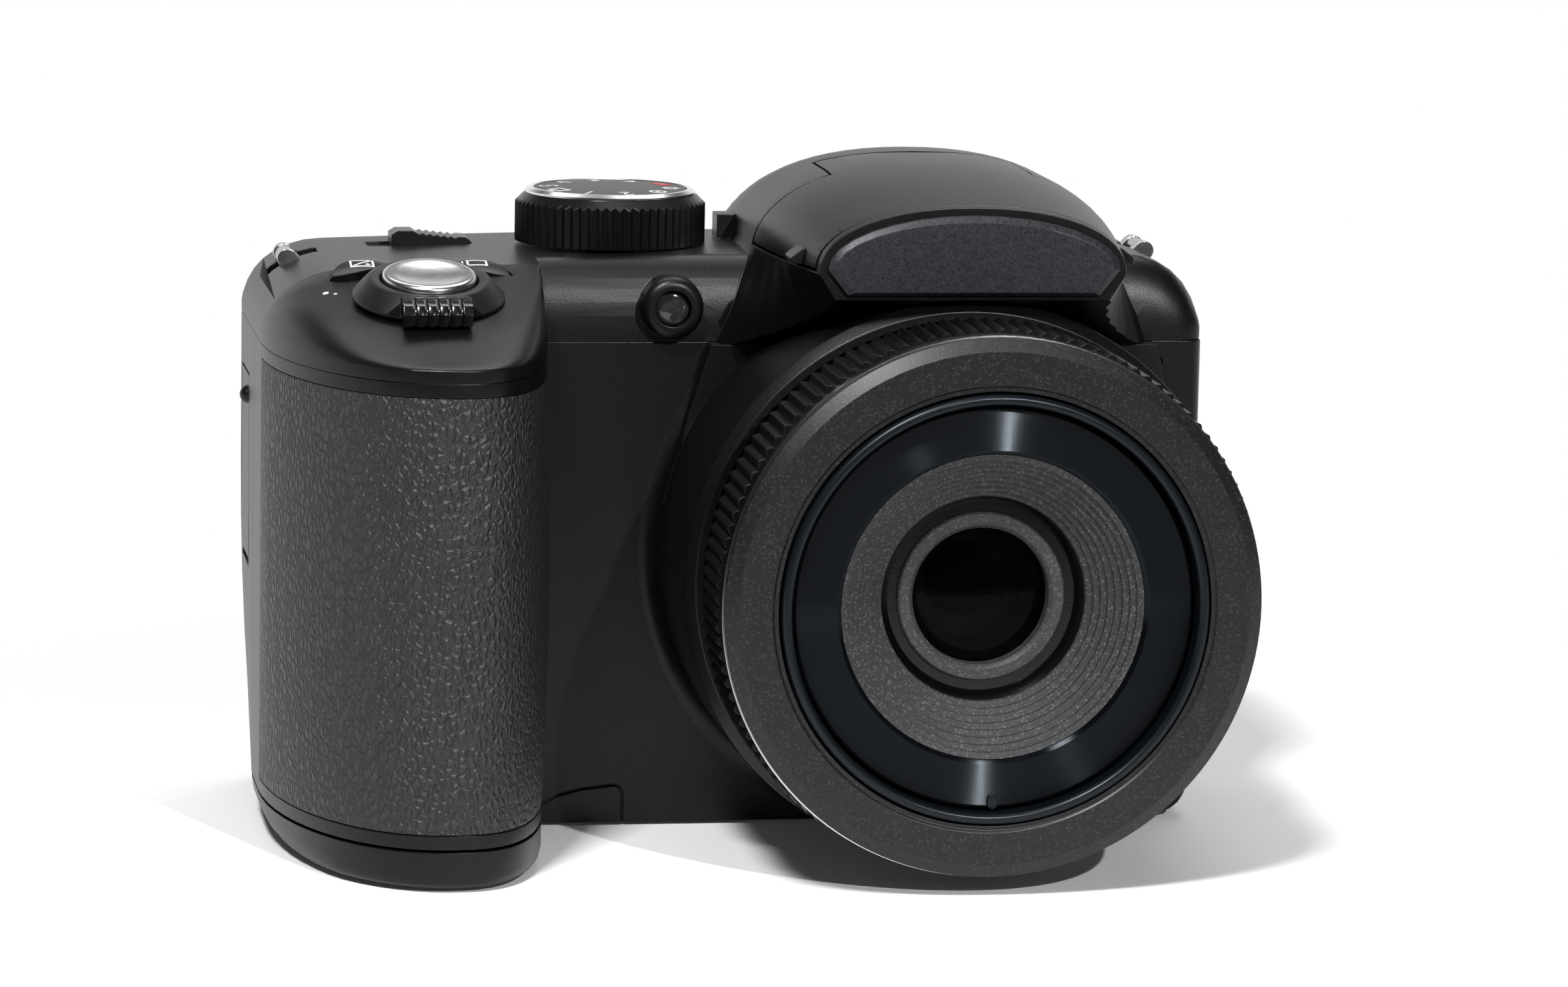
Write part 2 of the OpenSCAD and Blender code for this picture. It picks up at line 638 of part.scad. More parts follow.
// Back moulding: back wall, sides and base, open towards the front
module rear_shell() {
  color(black) {
    difference() {
      loft(pan_rings(0, seam_y, back_y, edge_r, seam_h));
      loft(pan_rings(wall, seam_y - 1, back_y - wall, edge_r - wall, seam_h + 1));
      box([screen[0][0], back_y - wall - 1, screen[0][1]], [screen[1][0], back_y + 1, screen[1][1]]);
      for (p = [menu_at, play_at, delete_at])
        rod_y(p[0], p[1], key_r + run, back_y - wall - 1, back_y + 1);
      rod_y(record_at[0], record_at[1], key_r + 0.5 + run, back_y - wall - 1, back_y + 1);
      rod_y(pad_at[0], pad_at[1], pad_r + run, back_y - wall - 1, back_y + 1);
      box([left_x - 1, cover[0][0] - gap, cover[1][0] - gap], [left_x + wall + 1, cover[0][1] + gap, cover[1][1] + gap]);
      box([left_x - 1, seam_y - 1, -1], [flank_x + 0.01, door_back, cap_h + gap]);
      along_y(seam_y - 1, door_back) polygon(lip_outline(gap));
      cylinder(r = insert_r + seat, h = 3 * wall, center = true);
      for (p = screw_at) translate([p[0], p[1], -1]) cylinder(r = 2 + seat, h = 2.2);
      for (p = screw_at) translate([p[0], p[1], -1]) cylinder(r = 1 + seat, h = 4);
    }
    door_ear(ear_rear[0], ear_rear[1]);
    rear_bosses();
  }
}
// Bosses on the base: screw pillars
module rear_bosses() {
  for (p = screw_at) translate([p[0], p[1], wall - 0.1]) difference() {
    cylinder(r = 2.6, h = 6);
    translate([0, 0, -1]) cylinder(r = 1 + seat, h = 6.4);
  }
}

// Top moulding: deck, shoulders, hump and hood
module top_cover() {
  color(black) difference() {
    union() {
      loft(deck_rings(0, seam_h));
      loft(hump_rings());
      lamp_boss();
      deck_post();
    }
    difference() {
      loft(deck_rings(wall, seam_h - 1));
      for (s = [-1, 1]) bar_boss(s);
    }
    hood_space();
    lens_rod(tower_r + gap, face_f, ring_f);
    lens_rod(housing_r + gap, 0, face_f + 1);
    lid_space(gap);
    rod_x(pivot_y, pivot_z, flash_pin_r + run, -tongue_w - pin_end - 0.2, tongue_w + pin_end + 0.2);
    box([-hollow_w, pivot_y + lid_barrel_r + gap + 1.5, seam_h], [hollow_w, hump_fall_y + 6, hump_h - 6.6]);
    lamp_bore();
    top_bores();
  }
}
// A small moulded post on the deck at the foot of the hump
module deck_post() box([-hump_w - 2.1, face_y + 19.5, seam_h + 4], [-hump_w + 1, face_y + 23.5, deck_h + 3]);
hollow_w = hump_w - 5;
lamp_at = [-tower_r + 1.3, seam_h + 4.4];
lamp_r = 3.9;
lamp_glass_r = 2.2;
module lamp_boss() {
  translate([lamp_at[0], face_y + wall, lamp_at[1]]) rotate([90, 0, 0]) rotate_extrude() polygon(concat(
    [[0, 0], [lamp_r, 0], [lamp_r, wall + 1.4]],
    arc([lamp_r - 1.2, wall + 1.4], 1.2, 0, 90, 5), [[0, wall + 2.6]]));
}
module lamp_bore() rod_y(lamp_at[0], lamp_at[1], lamp_glass_r + seat, face_y - 9, face_y + wall + 2);
module top_bores() {
  translate([-dial_x, face_y + dial_back, dial_z - 9]) cylinder(r = 3 + run, h = 12);
  shutter_seat() translate([0, 0, -9]) cylinder(r = hub_r + run, h = 12);
  for (s = [-1, 1]) eye_seat(s) translate([0, 0, -9]) linear_extrude(12) eye(0.2);
  slider_space();
  for (s = [-1, 1]) bar_seat(s) bar_room();
}

// Space that the lid of the flash fills, grown by o
module lid_space(o) {
  difference() {
    box([-40, lid_y - o, lid_low - o], [40, pivot_y, hump_h + 5]);
    rod_x(pivot_y, pivot_z, lid_split_r + gap - o, -41, 41);
  }
  box([-tongue_w - o, pivot_y - lid_split_r - 1, pivot_z - lid_barrel_r - o], [tongue_w + o, pivot_y, hump_h + 5]);
  rod_x(pivot_y, pivot_z, lid_barrel_r + o, -tongue_w - o, tongue_w + o);
}

// Satin panel on the front of the hood, bevelled
module hood_panel() {
  color("#26282b") hull() {
    along_y(hood_y - 0.6, hood_y - seat) polygon(panel_outline(0.9));
    along_y(hood_y - 1.1, hood_y - seat) polygon(panel_outline(1.7));
  }
}
function panel_outline(i) = concat(
  [[-(hood_w - 2.5 - i), hood_low + 0.2 + i * 0.5]],
  [for (k = [0 : 16]) let (a = 180 - 180 * k / 16)
    [(hood_w - i) * cos(a), spring_z + 0.7 + (hood_h - spring_z - 0.7 - i) * sin(a)]],
  [[hood_w - 2.5 - i, hood_low + 0.2 + i * 0.5]]);

// Rubber pad for the thumb
module thumb_rest() {
  color(rubber) hull() {
    along_y(back_y + seat, back_y + 0.8) polygon(thumb_outline(0));
    along_y(back_y + seat, back_y + 1.6) polygon(thumb_outline(1));
  }
}
function thumb_outline(i) = concat(
  arc([thumb[1][0] - 4, thumb[1][1] - 4], 4 - i, 0, 90, 5),
  arc([thumb[0][0] + 4, thumb[1][1] - 4], 4 - i, 90, 180, 5),
  arc([thumb[0][0] + 4, thumb[0][1] + 4], 4 - i, 180, 270, 5),
  arc([thumb[1][0] - 4, thumb[0][1] + 4], 4 - i, 270, 360, 5));

// Window of the lamp, a little domed
module lamp_lens() {
  color("#6b6f73") translate([lamp_at[0], face_y + wall, lamp_at[1]]) rotate([90, 0, 0]) rotate_extrude()
    polygon(concat([[0, 0], [lamp_glass_r, 0], [lamp_glass_r, wall + 1.2]],
      [for (k = [1 : 4]) [lamp_glass_r * cos(90 * k / 4), wall + 1.2 + 0.6 * sin(90 * k / 4)]]));
}

// Strap bars: each a round bar between two tabs, over a hollow in the shoulder
bar_y = face_y + 19;
bar_in = 4.5;
tab_r = bar_r + 0.15;
tab_t = 1.6;
tab_deep = 6;
module bar_seat(s) {
  x = s > 0 ? right_x - bar_in : left_x + bar_in;
  translate([x, bar_y, deck_z(x, bar_y, 0) + 0.45]) rotate([0, s * 45, 0]) children();
}
module bar_tabs(o) {
  for (y = [-bar_l / 2 - tab_t, bar_l / 2]) along_y(y - o, y + tab_t + o) polygon(concat(
    [[-tab_r - o, -tab_deep - o], [tab_r + o, -tab_deep - o]], arc([0, 0], tab_r + o, 0, 180, 12)));
}
module bar_room() {
  bar_tabs(seat);
  rod_y(0, 0, 4, -bar_l / 2 + seat, bar_l / 2 - seat);
}
module bar_boss(s) {
  x0 = s > 0 ? right_x - bar_in - 6 : left_x;
  box([x0, bar_y - bar_l / 2 - tab_t - 2, seam_h + 1.9], [x0 + bar_in + 6, bar_y + bar_l / 2 + tab_t + 2, deck_h + 5]);
}
module strap_lugs() {
  color(steel) for (s = [-1, 1]) bar_seat(s) {
    bar_tabs(0);
    rod_y(0, 0, bar_r, -bar_l / 2 - 0.4, bar_l / 2 + 0.4);
  }
}

// Brass nut for the tripod screw
insert_r = 4.8;
module tripod_insert() {
  color(brass) difference() {
    union() {
      cylinder(r = insert_r, h = socket_d + 1);
      translate([0, 0, wall + seat]) cylinder(r = insert_r + 1.4, h = 1.2, $fn = 6);
    }
    translate([0, 0, -1]) cylinder(r = socket_r, h = socket_d + 1);
  }
}

// Two screws in the base
module case_screws() {
  color(steel) for (p = screw_at) translate([p[0], p[1], 0.1]) difference() {
    union() {
      cylinder(r = 2, h = 1);
      cylinder(r = 1, h = 6.5);
    }
    for (a = [0, 90]) rotate([0, 0, a]) box([-1.2, -0.25, -1], [1.2, 0.25, 0.6]);
  }
}

// Fixed tube of the lens: a back wall, a hub for the rear glass, a collar for the sensor's board and a plain band
rear_glass_r = 8;
sensor_t = 1.3;
band_r = housing_r + knurl_t - 0.6;
module lens_housing() {
  color(dark) lens_turned() polygon([[rear_glass_r + seat, housing_back_f], [rear_glass_r + 1, housing_back_f],
    [rear_glass_r + 1, housing_back_f - sensor_t], [rear_glass_r + 3, housing_back_f - sensor_t],
    [rear_glass_r + 3, housing_back_f], [housing_r, housing_back_f], [housing_r, band_back_f],
    [band_r, band_back_f], [band_r, trim_back_f - seat], [housing_r, trim_back_f - seat],
    [housing_r, ring_back_f - seat], [housing_bore, ring_back_f - seat], [housing_bore, housing_back_f + 2],
    [rear_glass_r + 1.6, housing_back_f + 2], [rear_glass_r + 1.6, housing_back_f + 9],
    [rear_glass_r + seat, housing_back_f + 9]]);
}

// Ring with rounded axial teeth
module knurled_ring() {
  color(black) on_axis(knurl_back_f) linear_extrude(knurl_l - seat) difference() {
    polygon([for (k = [0 : knurl_n * 4 - 1]) let (a = 360 * k / (knurl_n * 4),
        r = housing_r + knurl_t - 0.75 * (k % 4 == 0 ? 1 : k % 4 == 2 ? 0 : 0.28))
      [r * cos(a), r * sin(a)]]);
    circle(r = housing_r + seat, $fn = 240);
  }
}

// Thin bright ring ahead of the knurl
module trim_ring() {
  color(steel) lens_ring(housing_r + seat, ring_r + 0.2, trim_back_f, ring_back_f - seat);
}

// Broad ring at the front of the lens, with a chamfered edge
ring_r = housing_r + 0.65;
module front_ring() {
  color(black) lens_turned() polygon([[barrel_r + gap, ring_back_f], [ring_r, ring_back_f],
    [ring_r, ring_f - 0.9], [ring_r - 1.55, ring_f], [barrel_r + 1.1, ring_f],
    [barrel_r + 0.8, ring_f - 0.3], [barrel_r + gap, ring_f - 0.3]]);
}

// Felt ring that keeps dust from the outer barrel
module barrel_seal() {
  color(dark) lens_ring(barrel_r + run, housing_bore - seat, ring_back_f - 4, ring_back_f - 0.4);
}

// Outer zoom barrel with a rolled rim
module zoom_barrel_outer() {
  color("#17191c") lens_turned() polygon(concat(
    [[barrel_r - barrel_t, barrel_back_f], [barrel_r, barrel_back_f], [barrel_r, barrel_f - barrel_t / 2]],
    arc([barrel_r - barrel_t / 2, barrel_f - barrel_t / 2], barrel_t / 2, 15, 180, 8)));
}

// Inner zoom barrel
module zoom_barrel_inner() {
  color("#17191c") lens_ring(inner_r - 1.5, inner_r, inner_back_f, inner_body_f - seat);
}

// Turned ring on the front of the inner barrel
module face_ring() {
  color("#23272d") lens_turned() polygon([[baffle_r + seat, inner_body_f], [inner_r, inner_body_f],
    [inner_r, inner_f - 0.4], [inner_r - 0.4, inner_f], [baffle_r + 0.5, inner_f], [baffle_r + seat, inner_f - 0.4]]);
}

// Stepped baffle that narrows to the front glass, with the glass's cell behind it
step_r = (baffle_r - neck_r) / baffle_n;
step_f = (neck_d - 0.5) / baffle_n;
module lens_baffle() {
  color("#5b6066") lens_turned() polygon(concat(
    [[glass_cell_r, glass_back_f], [glass_cell_r + 1.6, glass_back_f], [glass_cell_r + 1.6, baffle_back_f - 1.4],
     [baffle_r - 0.4, inner_body_f - 2], [inner_r - 1.5 - seat, inner_body_f - 2],
     [inner_r - 1.5 - seat, inner_body_f - seat], [baffle_r, inner_body_f - seat]],
    [for (k = [0 : baffle_n - 1]) each [[baffle_r - step_r * k, inner_f - 0.5 - step_f * k],
      [baffle_r - step_r * (k + 1), inner_f - 0.5 - step_f * (k + 0.35)]]],
    [[glass_cell_r + 1.1, baffle_back_f + 0.1], [glass_cell_r, baffle_back_f + 0.1]]));
}

// Ring that holds the front glass
module lens_retainer() {
  color("#8b9095") lens_turned() polygon([[glass_r, baffle_back_f - retainer_t],
    [glass_cell_r - seat, baffle_back_f - retainer_t], [glass_cell_r - seat, baffle_back_f + 0.4],
    [glass_cell_r - 0.3, baffle_back_f + 0.7], [glass_r + 0.5, baffle_back_f + 0.7], [glass_r, baffle_back_f + 0.2]]);
}

// Front glass, domed to the front and hollow behind
module front_element() {
  color("#2b3550") lens_turned() polygon(concat(
    [[0, glass_back_f + 1.6]],
    [for (k = [1 : 5]) let (r = (glass_cell_r - 1.4) * k / 5) [r, glass_back_f + 1.6 - 1.2 * pow(k / 5, 2)]],
    [[glass_cell_r - seat, glass_back_f + 0.4], [glass_cell_r - seat, baffle_back_f - retainer_t - seat],
     [glass_r - 0.1, baffle_back_f - retainer_t - seat]],
    [for (k = [5 : -1 : 0]) let (r = (glass_r - 0.1) * k / 5)
      [r, baffle_back_f - retainer_t + 0.1 + 1.5 * (1 - pow(k / 5, 2))]]));
}

// Fixed rear glass
module rear_element() {
  color("#2b3550") lens_turned() polygon(concat([[0, housing_back_f + 2.4], [rear_glass_r, housing_back_f + 3]],
    [[rear_glass_r, housing_back_f + 6]],
    [for (k = [4 : -1 : 0]) [rear_glass_r * k / 4, housing_back_f + 6 + 1.4 * (1 - pow(k / 4, 2))]]));
}

// Image sensor and its board
module image_sensor() {
  color("#2d3b34") box([-5, -housing_back_f + seat, lens_h - 4], [5, -housing_back_f + sensor_t, lens_h + 4]);
}
module sensor_board() {
  color(board) box([-17, -housing_back_f + sensor_t + seat, lens_h - 15],
    [17, -housing_back_f + sensor_t + seat + board_t, lens_h + 15]);
}

// Zoom motor and its closed gearbox in the corner under the lens
motor_r = 4;
module zoom_drive() {
  x = right_x - wall - motor_r - 0.6;
  z = wall + motor_r + 1.4;
  color("#6d7074") {
    rod_y(x, z, motor_r, face_y + wall + 0.2, seam_y + 6);
    box([x - 14, seam_y + 6 - seat, z - motor_r + 0.2], [x + motor_r - 1, seam_y + 10, z + motor_r + 2]);
  }
}

// Lid of the flash: the top of the hump, hollow, with two finger tabs
module flash_lid() {
  color(black) difference() {
    union() {
      intersection() {
        loft(hump_rings());
        lid_body();
      }
      for (s = [-1, 1]) lid_tab(s);
    }
    box([-lamp_w - seat, lid_y - 1, lid_low - 1], [lamp_w + seat, lid_y + 8.2, lid_low + lamp_h + 0.7]);
    box([-lamp_w, lid_y + 9.6, lid_low - 1], [lamp_w, pivot_y - lid_barrel_r - 1.6, hood_h - 1.6]);
    rod_x(pivot_y, pivot_z, flash_pin_r + seat, -tongue_w - 1, tongue_w + 1);
  }
}
module lid_body() {
  difference() {
    intersection() {
      box([-40, lid_y, lid_low], [40, pivot_y, hump_h + 5]);
      rod_x(pivot_y, pivot_z, pivot_y - lid_y + 0.05, -41, 41);
    }
    rod_x(pivot_y, pivot_z, lid_split_r + gap, -41, 41);
  }
  box([-tongue_w, pivot_y - lid_split_r - 1, pivot_z - lid_barrel_r], [tongue_w, pivot_y, hump_h + 5]);
  rod_x(pivot_y, pivot_z, lid_barrel_r, -tongue_w, tongue_w);
}
// A wedge-shaped tab for a fingernail at the lower front corner of the lid
tab_y = face_y - 17;
module lid_tab(s) {
  x = s * (hump_half(tab_y) - 0.9);
  translate([x, tab_y, lid_low]) rotate([90, 0, 0]) linear_extrude(4.6, center = true)
    polygon([[-s * 2, 0], [s * 1.7, 0], [s * 1.9, 0.7], [s * 0.4, 1.9], [-s * 2, 1.9]]);
}

// Lamp and window of the flash
module flash_lamp() {
  color("#d9dadb") difference() {
    box([-lamp_w, window_back, lid_low + 0.5], [lamp_w, lid_y + 8, lid_low + 0.5 + lamp_h]);
    along_x(-lamp_w + 1, lamp_w - 1) polygon([[window_back - 0.2, lid_low + 0.9],
      [window_back - 0.2, lid_low + 0.1 + lamp_h],
      [lid_y + 5, lid_low + 0.5 + lamp_h / 2]]);
  }
}
module flash_window() {
  color("#dfe6ea") difference() {
    box([-lamp_w, window_back - window_t, lid_low + 0.5], [lamp_w, window_back - seat, lid_low + 0.5 + lamp_h]);
    for (k = [1 : 6]) box([-lamp_w - 1, window_back - window_t - 0.1, lid_low + 0.4 + k * lamp_h / 7],
      [lamp_w + 1, window_back - window_t + 0.2, lid_low + 0.6 + k * lamp_h / 7]);
  }
}

// Hinge pin of the lid, longer than the tongue by its two seats in the cover
flash_pin_r = 1;
pin_end = 2;
module flash_pin() {
  color(steel) rod_x(pivot_y, pivot_z, flash_pin_r, -tongue_w - pin_end, tongue_w + pin_end);
}

// Flash circuit and its capacitor in the nose of the grip
flash_y = cell_y - cell_r - 2.6;
module flash_board() {
  depth = (face_y - flash_y + board_t) / (grip_reach - skin);
  half_l = (nose_left - skin) * sqrt(1 - depth * depth) - 0.6;
  half_r = (nose_right - skin) * pow(1 - pow(depth, right_power), 1 / right_power) - 0.6;
  color(board) box([nose_x - half_l, flash_y - board_t, strip_low + 4], [nose_x + half_r, flash_y, strip_top - 7]);
}
module flash_capacitor() {
  color("#3a3f6b") translate([nose_x, flash_y - board_t - 4.6, 12]) cylinder(r = 4.5, h = 34);
}

// Shutter button: a dished cap on a stem
module shutter_button() {
  color(steel) shutter_seat() rotate_extrude() polygon(concat(
    [[0, -4.6], [2, -4.6], [2, 0.2], [shutter_r, 0.2], [shutter_r, lever_h]],
    arc([shutter_r - 0.6, lever_h], 0.6, 0, 90, 4),
    [for (k = [4 : -1 : 0]) [(shutter_r - 1) * k / 4, lever_h + 0.6 - 0.5 * (1 - pow(k / 4, 2))]]));
}

// Zoom lever: a cone round the button, a hub through the deck and a ribbed tab
module zoom_lever() {
  color(black) shutter_seat() {
    rotate_extrude() polygon([[shutter_r + gap, -hub_low], [hub_r, -hub_low], [hub_r, gap], [lever_r, gap],
      [lever_r, gap + 0.4], [hub_r + 0.5, lever_h - 0.3], [hub_r - 0.1, lever_h], [shutter_r + gap, lever_h - 0.2]]);
    lever_tab();
  }
}
tab_in = shutter_r + gap + 1;
tab_out = lever_r + 2.4;
module lever_tab() {
  difference() {
    along_x(-tab_w / 2, tab_w / 2) polygon([[-tab_in, gap + 0.2], [-tab_in, lever_h], [-tab_out + 2.6, lever_h + 0.5],
      [-tab_out + 0.7, lever_h + 0.1], [-tab_out, lever_h - 0.8], [-tab_out + 0.3, gap + 0.2]]);
    for (k = [-2 : 2]) translate([k * tab_w / 6, 0, 0])
      along_x(-0.22, 0.22) polygon([[-tab_out + 4.2, lever_h + 1], [-tab_out + 3.4, lever_h + 0.05],
        [-tab_out + 0.9, lever_h - 0.4], [-tab_out + 0.45, lever_h - 1], [-tab_out + 0.7, gap],
        [-tab_out - 1, gap], [-tab_out - 1, lever_h + 1]]);
  }
}

// Mode dial: fluted skirt, with a shaft through the deck
module on_dial(z = 0) translate([-dial_x, face_y + dial_back, dial_z + z]) children();
module mode_dial() {
  color(black) {
    on_dial(gap) intersection() {
      linear_extrude(dial_h - 0.6) polygon([for (k = [0 : 2 * dial_n - 1])
        let (a = 180 * k / dial_n, r = dial_r - (k % 2) * 0.45) [r * cos(a), r * sin(a)]]);
      rotate_extrude() polygon([[0, -1], [dial_r + 1, -1], [dial_r + 1, dial_h - 2.8], [dial_r - 1.4, dial_h - 0.4],
        [0, dial_h - 0.4]]);
    }
    on_dial(gap - 8) cylinder(r = 3, h = 8.2);
  }
}

// Plate on the dial: a thin rim round a flat top
module dial_plate() {
  color(steel) on_dial(gap + dial_h - 0.6 + seat) rotate_extrude() polygon([[0, 0], [dial_r - 1.25, 0],
    [dial_r - 1.25, 0.25], [dial_r - 1.8, 0.6], [dial_r - 2.2, 0.6], [dial_r - 2.3, 0.5], [dial_r / 2, 0.62], [0, 0.66]]);
}

// Power slider in its slot
module slider_space() {
  x0 = slider_x - slider_l / 2 - slider_travel - gap;
  box([x0, slider_y - slider_w / 2 - gap, slider_z - slider_pocket],
    [slider_x + slider_l / 2 + gap, slider_y + slider_w / 2 + gap, slider_z + 3]);
  box([slider_x - 2 - slider_travel - gap, slider_y - 0.8 - gap, slider_z - 5],
    [slider_x + 2 + gap, slider_y + 0.8 + gap, slider_z]);
  box([slider_x - foot_l / 2 - slider_travel - gap, slider_y - foot_w / 2 - gap, slider_z - wall - 1.6 - gap],
    [slider_x + foot_l / 2 + gap, slider_y + foot_w / 2 + gap, slider_z - wall - gap]);
}
module power_slider() {
  half = slider_l / 2;
  low = slider_z - slider_pocket + 0.15;
  color(black) {
    along_slider() polygon(concat([[-half, low], [half, low], [half, slider_z + 0.5], [half - 0.5, slider_z + 0.9]],
      [for (k = [5 : -1 : 0]) each [[-1 + k * 0.9, slider_z + 0.95 + 0.1 * (5 - k)], [-1.45 + k * 0.9, slider_z + 0.75 + 0.1 * (5 - k)]]],
      [[-2.2, slider_z + 1.7], [-half + 0.8, slider_z + 1.7], [-half, slider_z + 1.2]]));
    box([slider_x - 2, slider_y - 0.8, slider_z - wall - 1.6], [slider_x + 2, slider_y + 0.8, low + 0.1]);
    box([slider_x - foot_l / 2, slider_y - foot_w / 2, slider_z - wall - 1.6],
      [slider_x + foot_l / 2, slider_y + foot_w / 2, slider_z - wall - 0.6]);
  }
}
module along_slider() translate([slider_x, slider_y + slider_w / 2, 0]) rotate([90, 0, 0])
  linear_extrude(slider_w) children();

// Eye-shaped buttons behind the lever: burst drive and exposure
module eye_seat(s) shutter_seat() rotate([0, 0, 90 + s * (eye_angle - 90)]) translate([eye_out, 0, 0]) children();
module eye(o) intersection() {
  translate([eye_set, 0]) circle(r = eye_bow + o);
  translate([-eye_set, 0]) circle(r = eye_bow + o);
}
module eye_button(s) {
  eye_seat(s) {
    intersection() {
      translate([0, 0, -eye_low]) linear_extrude(eye_low + 3) eye(0);
      translate([0, 0, -11]) sphere(r = 12);
    }
    translate([0, 0, -eye_low - 0.4]) linear_extrude(0.6) eye(0.9);
  }
}
module drive_button() color(black) eye_button(-1);
module exposure_button() color(black) eye_button(1);

// Switch board under the deck
module top_board() {
  color(board) translate([0, 0, top_board_z]) linear_extrude(board_t) polygon(concat(
    [for (t = [25 : 13 : 155]) nose_point(skin + 0.6, t)],
    [[flank_x - skin - 0.6, face_y + wall + 0.6], [-30, face_y + wall + 0.6], [-30, main_y + board_t],
     [left_x + 9, main_y + board_t], [left_x + 6, seam_y]]));
}

// A round key on the back, with a collar behind the wall and a stem to the board
module back_key(p, r) {
  translate([p[0], main_y + board_t + press + 0.4, p[1]]) rotate([-90, 0, 0]) rotate_extrude() {
    y0 = main_y + board_t + press + 0.4;
    top = back_y + key_proud - y0;
    inside = back_y - wall - 0.3 - y0;
    polygon(concat([[0, 0], [1.2, 0], [1.2, inside - key_flange], [r + key_collar, inside - key_flange],
      [r + key_collar, inside], [r, inside], [r, top - 0.4]], arc([r - 0.4, top - 0.4], 0.4, 0, 90, 4), [[0, top]]));
  }
}
module record_button() color("#b3262b") back_key(record_at, key_r + 0.5);
module menu_button() color(black) back_key(menu_at, key_r);
module play_button() color(black) back_key(play_at, key_r);
module delete_button() color(black) back_key(delete_at, key_r);
module ok_button() color(black) back_key(pad_at, ok_r);

// Four-way pad round the middle button
module pad_ring() {
  y0 = back_y - wall - 0.3 - key_flange;
  top = back_y + key_proud - y0;
  color(black) translate([pad_at[0], y0, pad_at[1]]) rotate([-90, 0, 0]) rotate_extrude() polygon(concat(
    [[ok_r + key_collar + gap, 0], [pad_r + key_collar, 0], [pad_r + key_collar, key_flange], [pad_r, key_flange],
     [pad_r, top - 0.5]], arc([pad_r - 0.5, top - 0.5], 0.5, 0, 90, 4),
    [[ok_r + run + 0.8, top - 0.3], [ok_r + run, top - 0.7], [ok_r + run, key_flange + 0.4 + press],
     [ok_r + key_collar + gap, key_flange + 0.4 + press]]));
}

// Screen: panel and window
module lcd_panel() {
  color("#30343a") box([screen[0][0] - 1.5, lcd_y, screen[0][1] - 1], [screen[1][0] + 1, lcd_y + lcd_t, screen[1][1] + 0.5]);
}
module lcd_window() {
  color("#0c0d0f") box([screen[0][0] + 0.15, back_y - wall + 0.1, screen[0][1] + 0.15],
    [screen[1][0] - 0.15, back_y - 0.1, screen[1][1] - 0.15]);
}

// Main board with its chips
module main_board() {
  color(board) {
    box([left_x + 4, main_y, 8], [right_x - 4.5, main_y + board_t, top_board_z - 1.9]);
    box([-24, main_y - 1.4, 24], [-10, main_y + 0.1, 38]);
    box([2, main_y - 1.1, 28], [12, main_y + 0.1, 36]);
    box([16, main_y - 1.1, 40], [26, main_y + 0.1, 48]);
  }
}

// Four cells, two up and two down
module battery_cells() {
  color("#c9c3b0") for (i = [0, 1]) for (j = [0, 1])
    translate([cell_x + i * cell_pitch, cell_y + j * cell_pitch, cell_z]) cell((i + j) % 2);
}
module cell(flip) translate([0, 0, flip * cell_l]) mirror([0, 0, flip]) {
  cylinder(r = cell_r, h = cell_l - 1.4);
  translate([0, 0, cell_l - 1.41]) cylinder(r = 2.75, h = 1.41);
}

// Cradle over and behind the cells
module cradle_plan() polygon([[left_x + skin + 2, cell_y - 3], [nose_x, cell_y - 5], [flank_x - skin - 2, cell_y - 3],
  [flank_x - skin - 0.4, cell_y + 6], [flank_x - skin - 0.4, cradle_y + cradle_t],
  [left_x + wall + 2.4, cradle_y + cradle_t], [left_x + wall + 2.4, cell_y + 2]]);
cradle_y = cell_y + cell_pitch + cell_r + 0.15;
module battery_cradle() {
  color(dark) {
    translate([0, 0, cradle_z]) linear_extrude(cradle_t) cradle_plan();
    box([left_x + wall + 2.4, cradle_y, cap_h + 2], [flank_x - skin - 0.4, cradle_y + cradle_t, cradle_z + 0.1]);
  }
}

// Contact plates over the cells and on the door
module battery_contacts() {
  color(brass) for (j = [0, 1]) box([cell_x - 4, cell_y + j * cell_pitch - 3, cell_top + 0.2],
    [cell_x + cell_pitch + 4, cell_y + j * cell_pitch + 3, cell_top + 0.2 + contact_t]);
}
module door_contacts() {
  color(brass) for (i = [0, 1]) box([cell_x + i * cell_pitch - 3, cell_y - 4, plate_t + seat],
    [cell_x + i * cell_pitch + 3, cell_y + cell_pitch + 4, plate_t + seat + contact_t]);
}

// Battery door: the cap under the grip and a tongue to the hinge
module battery_door() {
  color(black) difference() {
    union() {
      difference() {
        loft([for (z = [0, 0.12, 0.4, 0.8, 1.6, 2.8, cap_h]) [for (p = cap_plan(z)) concat(p, z)]]);
        translate([0, 0, plate_t]) linear_extrude(cap_h) polygon(concat(
          [[flank_x + 1, door_back + 1], [left_x + wall + 0.4, door_back + 1]], nose(wall + 0.4),
          [[flank_x - wall, face_y + wall], [flank_x + 1, face_y + wall]]));
      }
      box([flank_x - edge_r - 1, door_knuckles[0][0], 0.1],
        [door_axis_x - door_barrel_r - gap, door_back - gap - 0.1, plate_t - 0.1]);
      for (s = door_knuckles) {
        rod_y(door_axis_x, door_axis_z, door_barrel_r, s[0], s[1]);
        box([door_axis_x - door_barrel_r - gap - 0.6, s[0] + 0.2, 0.2], [door_axis_x - 1, s[1] - 0.2, plate_t - 0.2]);
      }
    }
    rod_y(door_axis_x, door_axis_z, door_pin_r + seat, face_y + wall, door_back + 1);
    latch_space();
  }
}
door_knuckles = [[face_y + wall + gap, ear_front[0] - gap], [ear_front[1] + gap, ear_rear[0] - gap],
  [ear_rear[1] + gap, door_back - gap]];

// Hinge pin of the door
module door_pin() {
  color(steel) rod_y(door_axis_x, door_axis_z, door_pin_r, door_knuckles[0][0] + 0.1, door_back - gap - 0.1);
}

